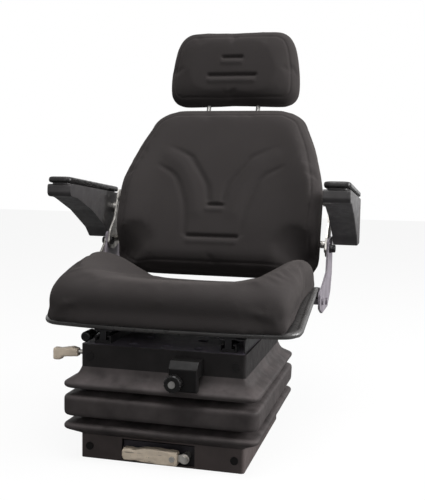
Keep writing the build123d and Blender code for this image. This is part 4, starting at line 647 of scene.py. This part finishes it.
def rounded_ring(half_x, half_y, radius, arc=8, run=26):
    """Points round a rounded rectangle, with the same count at every size."""
    made = []
    corners = ((1, 1, 0), (-1, 1, 90), (-1, -1, 180), (1, -1, 270))
    for index, (sx, sy, turn) in enumerate(corners):
        cx, cy = sx * (half_x - radius), sy * (half_y - radius)
        for step in range(arc + 1):
            a = math.radians(turn + 90 * step / arc)
            made.append((cx + radius * math.cos(a), cy + radius * math.sin(a)))
        nx, ny, nt = corners[(index + 1) % 4]
        a = math.radians(nt)
        end = (nx * (half_x - radius) + radius * math.cos(a), ny * (half_y - radius) + radius * math.sin(a))
        start = made[-1]
        for step in range(1, run):
            t = step / run
            made.append((start[0] + (end[0] - start[0]) * t, start[1] + (end[1] - start[1]) * t))
    return made


def bellows():
    """Rubber bellows: three rounded folds between the two bands."""
    far, near, inside = FOLD_REACH, FOLD_SHOULDER, FOLD_INSIDE
    profile = [(-0.6, 42.0), (0.5, 44.5), (near, 55.5), (far, 58.5), (far, 65.0), (near, 68.0),
               (inside, 74.5), (near, 81.0), (far, 84.5), (far, 114.5), (near, 118.0), (inside, 124.5),
               (near, 131.0), (far, 134.0), (far, 140.5), (21, 144.5), (6, 153), (0.6, 165.0), (-0.4, 167.5)]
    rings = []
    for reach, z in rounded(profile, 6.5):
        radius = BASE_CORNER + max(reach, 0.0) / 2
        ring = []
        for x, y in rounded_ring(BASE_HALF_X + reach, BASE_HALF_Y + reach, radius):
            out = max(reach, 0.0) / FOLD_REACH
            wave = noise.noise((x * 0.013, y * 0.013, z * 0.05)) * 1.1 * out
            bow = 0.9 * out * math.cos(math.pi * x / 380) * math.cos(math.pi * y / 410)
            away = math.hypot(x, y)
            ring.append(((x + x / away * wave) * MM, (y + y / away * wave) * MM,
                         (z - bow + 0.5 * wave) * MM))
        rings.append(ring)
    obj = add_object("bellows_skin", grid_mesh("bellows_skin", rings))
    wall = obj.modifiers.new("wall", "SOLIDIFY")
    wall.thickness = BELLOWS_WALL * MM
    wall.offset = -1.0
    bake(obj)
    shade_smooth(obj.data)
    settle(obj, "base", "bellows_rubber", "bellows")
    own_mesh(obj)


def coil_springs():
    """The two coil springs, with their end turns lying flat on the trays."""
    low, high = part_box("coil_springs")
    wire = SPRING_WIRE * MM
    middle_y = (low.y + high.y) / 2
    radius = (high.y - low.y) / 2 - wire
    centre_x = high.x - radius - wire
    bottom, top = low.z + wire, high.z - wire
    meshes = []
    for side in (1, -1):
        rings = []
        for index in range(SPRING_TURNS * SPRING_STEPS + 1):
            t = index / (SPRING_TURNS * SPRING_STEPS)
            a = 2 * math.pi * SPRING_TURNS * t
            rise = bottom + (top - bottom) * float(smoothstep(t, -0.02, 1.02) * 0.35 + t * 0.65)
            out = np.array([math.cos(a), math.sin(a), 0.0])
            centre = np.array([side * centre_x, middle_y, min(max(rise, bottom), top)]) + out * radius
            rings.append([centre + wire * (out * math.cos(b) + np.array([0, 0, 1.0]) * math.sin(b))
                          for b in (2 * math.pi * k / SPRING_SIDES for k in range(SPRING_SIDES))])
        meshes.append(grid_mesh("coil", rings, closed_ends=True))
    bm = bmesh.new()
    for mesh in meshes:
        bm.from_mesh(mesh)
        bpy.data.meshes.remove(mesh)
    bmesh.ops.recalc_face_normals(bm, faces=bm.faces)
    mesh = bpy.data.meshes.new("coil_pair")
    bm.to_mesh(mesh)
    bm.free()
    obj = add_object("coil_pair", mesh)
    shade_smooth(mesh)
    settle(obj, "base", "spring_steel", "coil_springs")
    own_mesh(obj)


# ---------------------------------------------------------------- grips and rim
def preload_grip():
    """Worn ivory grip of the preload lever: a swollen end, a waist and a soft belly."""
    obj = soft_copy("preload_grip", "preload_grip_worn", voxel=0.0013, rounds=5)
    mesh = obj.data
    co = read(mesh, "co") / MM
    low, high = co.min(0), co.max(0)
    along = (co[:, 0] - low[0]) / (high[0] - low[0])
    middle = (low[2] + high[2]) / 2
    up = smoothstep(co[:, 2], middle - 2.0, middle + 8.0)
    down = smoothstep(-co[:, 2], -middle - 2.0, -middle + 8.0)
    waist = np.exp(-((along - 0.24) / 0.07) ** 2)
    belly = np.exp(-((along - 0.52) / 0.2) ** 2)
    co[:, 2] += up * (1.2 * belly - 2.6 * waist - 1.2 * smoothstep(along, 0.62, 0.9))
    co[:, 2] += down * (0.8 * waist - 0.8 * smoothstep(along, 0.3, 0.7))
    dents = np.array([noise.noise((x * 0.11, y * 0.2, z * 0.2)) for x, y, z in co])
    co += read(mesh, "normal") * (dents * 0.5)[:, None]
    write(mesh, co * MM)
    relax(mesh, 2)
    shade_smooth(mesh)
    settle(obj, "preload_lever", "ivory_plastic", "preload_grip")


def height_grip():
    """Worn ivory grip of the height lever, with its thumb paddle."""
    obj = soft_copy("height_lever_grip", "height_grip_worn", voxel=0.0011, rounds=6)
    mesh = obj.data
    co = read(mesh, "co")
    dents = np.array([noise.noise((x * 140, y * 140, z * 140)) for x, y, z in co])
    write(mesh, co + read(mesh, "normal") * (dents * 0.4 * MM)[:, None])
    relax(mesh, 1)
    shade_smooth(mesh)
    settle(obj, "height_lever", "ivory_plastic", "height_lever_grip")


def pan_outline():
    """The middle line of the pan's rolled rim, from the front round both sides to the rear."""
    grow = (PAN_LIP - PAN_WALL) / 2
    side, corner = PAN_HALF_WIDTH + grow, PAN_FRONT_CORNER + grow
    bend = math.atan(2 * PAN_BOW / PAN_HALF_WIDTH)
    touch = PAN_HALF_WIDTH - PAN_FRONT_CORNER * (1 - math.sin(bend))
    centre_y = PAN_FRONT + PAN_BOW * (touch / PAN_HALF_WIDTH) ** 2 + PAN_FRONT_CORNER * math.cos(bend)
    half = []
    for t in np.linspace(0, 1, 40, endpoint=False):
        x = t * (touch + grow * math.sin(bend))
        half.append((x, PAN_FRONT - grow + PAN_BOW * (x / PAN_HALF_WIDTH) ** 2))
    for a in np.linspace(bend - math.pi / 2, 0, 16, endpoint=False):
        half.append((side - corner + corner * math.cos(a), centre_y + corner * math.sin(a)))
    for y in np.linspace(centre_y, PAN_REAR - PAN_REAR_CORNER, 50, endpoint=False):
        half.append((side, y))
    reach = PAN_REAR_CORNER + grow
    for a in np.linspace(0, math.pi / 2, 14):
        half.append((side - reach + reach * math.cos(a), PAN_REAR + grow - reach + reach * math.sin(a)))
    for t in np.linspace(0, 1, 16)[1:]:
        half.append(((side - reach) * (1 - t), PAN_REAR + grow))
    return half + [(-x, y) for x, y in reversed(half[1:-1])]


def rim_bead():
    """The rolled rim of the seat pan as a full round bead."""
    path = pan_outline()
    rings = []
    for index, (x, y) in enumerate(path + path[:1]):
        before, after = path[index - 1], path[(index + 1) % len(path)]
        if index == len(path):
            before, after = path[-1], path[1]
        run = np.array([after[0] - before[0], after[1] - before[1]])
        out = np.array([run[1], -run[0]]) / np.linalg.norm(run)
        near = [row_value(RIM_LINE, y + step) for step in (-14, -7, 0, 7, 14)]
        z = sum(near) / len(near) - RIM_HEIGHT / 2
        ring = []
        for k in range(BEAD_SIDES):
            a = 2 * math.pi * k / BEAD_SIDES
            reach, rise = BEAD_REACH * math.cos(a), BEAD_RISE * math.sin(a)
            ring.append(((x + out[0] * reach) * MM, (y + out[1] * reach) * MM, (z + rise) * MM))
        rings.append(ring)
    obj = add_object("seat_pan_rim", grid_mesh("seat_pan_rim", rings))
    obj.data.materials.append(MATERIALS["pan_paint"])
    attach(obj, "carriage")


preload_grip()
height_grip()
rim_bead()
seat_cushion()
backrest_pad()
headrest_pad()
armrest_pad("right")
armrest_pad("left")
bellows()
coil_springs()


# ---------------------------------------------------------------- stage, lights and camera
def floor():
    """Pale floor that shows near white to the camera and keeps the object's shadow."""
    mesh = bpy.data.meshes.new("floor")
    corners = ((-1, -1), (1, -1), (1, 1), (-1, 1))
    mesh.from_pydata([(x * FLOOR_HALF, y * FLOOR_HALF, FLOOR_Z) for x, y in corners], [], [(0, 1, 2, 3)])
    obj = add_object("floor", mesh)
    material = bpy.data.materials.new("floor")
    material.use_nodes = True
    tree = material.node_tree
    tree.nodes.clear()
    out = tree.nodes.new("ShaderNodeOutputMaterial")
    mix = tree.nodes.new("ShaderNodeMixShader")
    diffuse = tree.nodes.new("ShaderNodeBsdfDiffuse")
    pale = tree.nodes.new("ShaderNodeMixRGB")
    pale.inputs["Color1"].default_value = (0.24, 0.24, 0.24, 1)
    pale.inputs["Color2"].default_value = (0.92, 0.92, 0.92, 1)
    tree.links.new(pale.outputs["Color"], diffuse.inputs["Color"])
    glow = tree.nodes.new("ShaderNodeEmission")
    glow.inputs["Strength"].default_value = 1.0
    path = tree.nodes.new("ShaderNodeLightPath")
    seen = tree.nodes.new("ShaderNodeMath")
    seen.operation = "MAXIMUM"
    tree.links.new(path.outputs["Is Camera Ray"], seen.inputs[0])
    tree.links.new(path.outputs["Is Transmission Ray"], seen.inputs[1])
    share = tree.nodes.new("ShaderNodeMath")
    share.operation = "MULTIPLY"
    share.inputs[1].default_value = FLOOR_GLOW
    tree.links.new(seen.outputs[0], share.inputs[0])
    tree.links.new(seen.outputs[0], pale.inputs["Fac"])
    tree.links.new(share.outputs[0], mix.inputs["Fac"])
    tree.links.new(diffuse.outputs[0], mix.inputs[1])
    tree.links.new(glow.outputs[0], mix.inputs[2])
    tree.links.new(mix.outputs[0], out.inputs["Surface"])
    mesh.materials.append(material)


def world():
    """White to the camera, in metal and through glass, and a soft grey light on everything else."""
    made = bpy.data.worlds.new("studio")
    SCENE.world = made
    made.use_nodes = True
    tree = made.node_tree
    back = tree.nodes["Background"]
    back.inputs["Color"].default_value = (1, 1, 1, 1)
    path = tree.nodes.new("ShaderNodeLightPath")
    seen = tree.nodes.new("ShaderNodeMath")
    seen.operation = "MAXIMUM"
    tree.links.new(path.outputs["Is Camera Ray"], seen.inputs[0])
    both_rays = tree.nodes.new("ShaderNodeMath")
    both_rays.operation = "MAXIMUM"
    tree.links.new(path.outputs["Is Glossy Ray"], both_rays.inputs[0])
    tree.links.new(path.outputs["Is Transmission Ray"], both_rays.inputs[1])
    tree.links.new(both_rays.outputs[0], seen.inputs[1])
    strength = tree.nodes.new("ShaderNodeMapRange")
    strength.inputs["To Min"].default_value = WORLD_LIGHT
    strength.inputs["To Max"].default_value = 1.0
    tree.links.new(seen.outputs[0], strength.inputs["Value"])
    tree.links.new(strength.outputs["Result"], back.inputs["Strength"])


def lamp(name, place, aim, size, power):
    data = bpy.data.lights.new(name, "AREA")
    data.shape = "DISK"
    data.size = size
    data.energy = power
    obj = add_object(name, data)
    run = np.array(aim, float) - np.array(place, float)
    run /= np.linalg.norm(run)
    side = np.cross(run, (0.0, 0.0, 1.0))
    side /= np.linalg.norm(side)
    up = np.cross(side, run)
    obj.matrix_world = Matrix([[*row, p] for row, p in zip(np.stack([side, up, -run], 1), place)]
                              + [[0, 0, 0, 1]])


def camera():
    """The photograph's camera: a little to the right of the seat and a little above the cushion."""
    turn, drop, roll = (math.radians(angle) for angle in (CAMERA_TURN, CAMERA_DROP, CAMERA_ROLL))
    right = np.array([math.cos(turn), math.sin(turn), 0.0])
    ahead = np.array([-math.sin(turn) * math.cos(drop), math.cos(turn) * math.cos(drop), -math.sin(drop)])
    up = np.cross(right, ahead)
    x_axis = right * math.cos(roll) + up * math.sin(roll)
    y_axis = -right * math.sin(roll) + up * math.cos(roll)
    data = bpy.data.cameras.new("camera")
    data.lens = CAMERA_LENS
    data.sensor_fit = "VERTICAL"
    data.sensor_height = CAMERA_SENSOR
    obj = add_object("camera", data)
    axes = np.stack([x_axis, y_axis, -ahead], 1)
    obj.matrix_world = Matrix([[*row, p] for row, p in zip(axes, CAMERA_PLACE)] + [[0, 0, 0, 1]])
    SCENE.camera = obj


floor()
world()
lamp("top_lamp", (0.2, -0.7, 3.0), (0.0, 0.1, 0.4), 2.2, 76.0)
lamp("right_lamp", (2.7, 0.3, 1.2), (0.0, 0.1, 0.3), 1.5, 92.0)
lamp("front_lamp", (0.3, -2.9, 1.3), (0.0, 0.1, 0.4), 1.8, 11.0)
camera()
SCENE.view_settings.view_transform = "Standard"
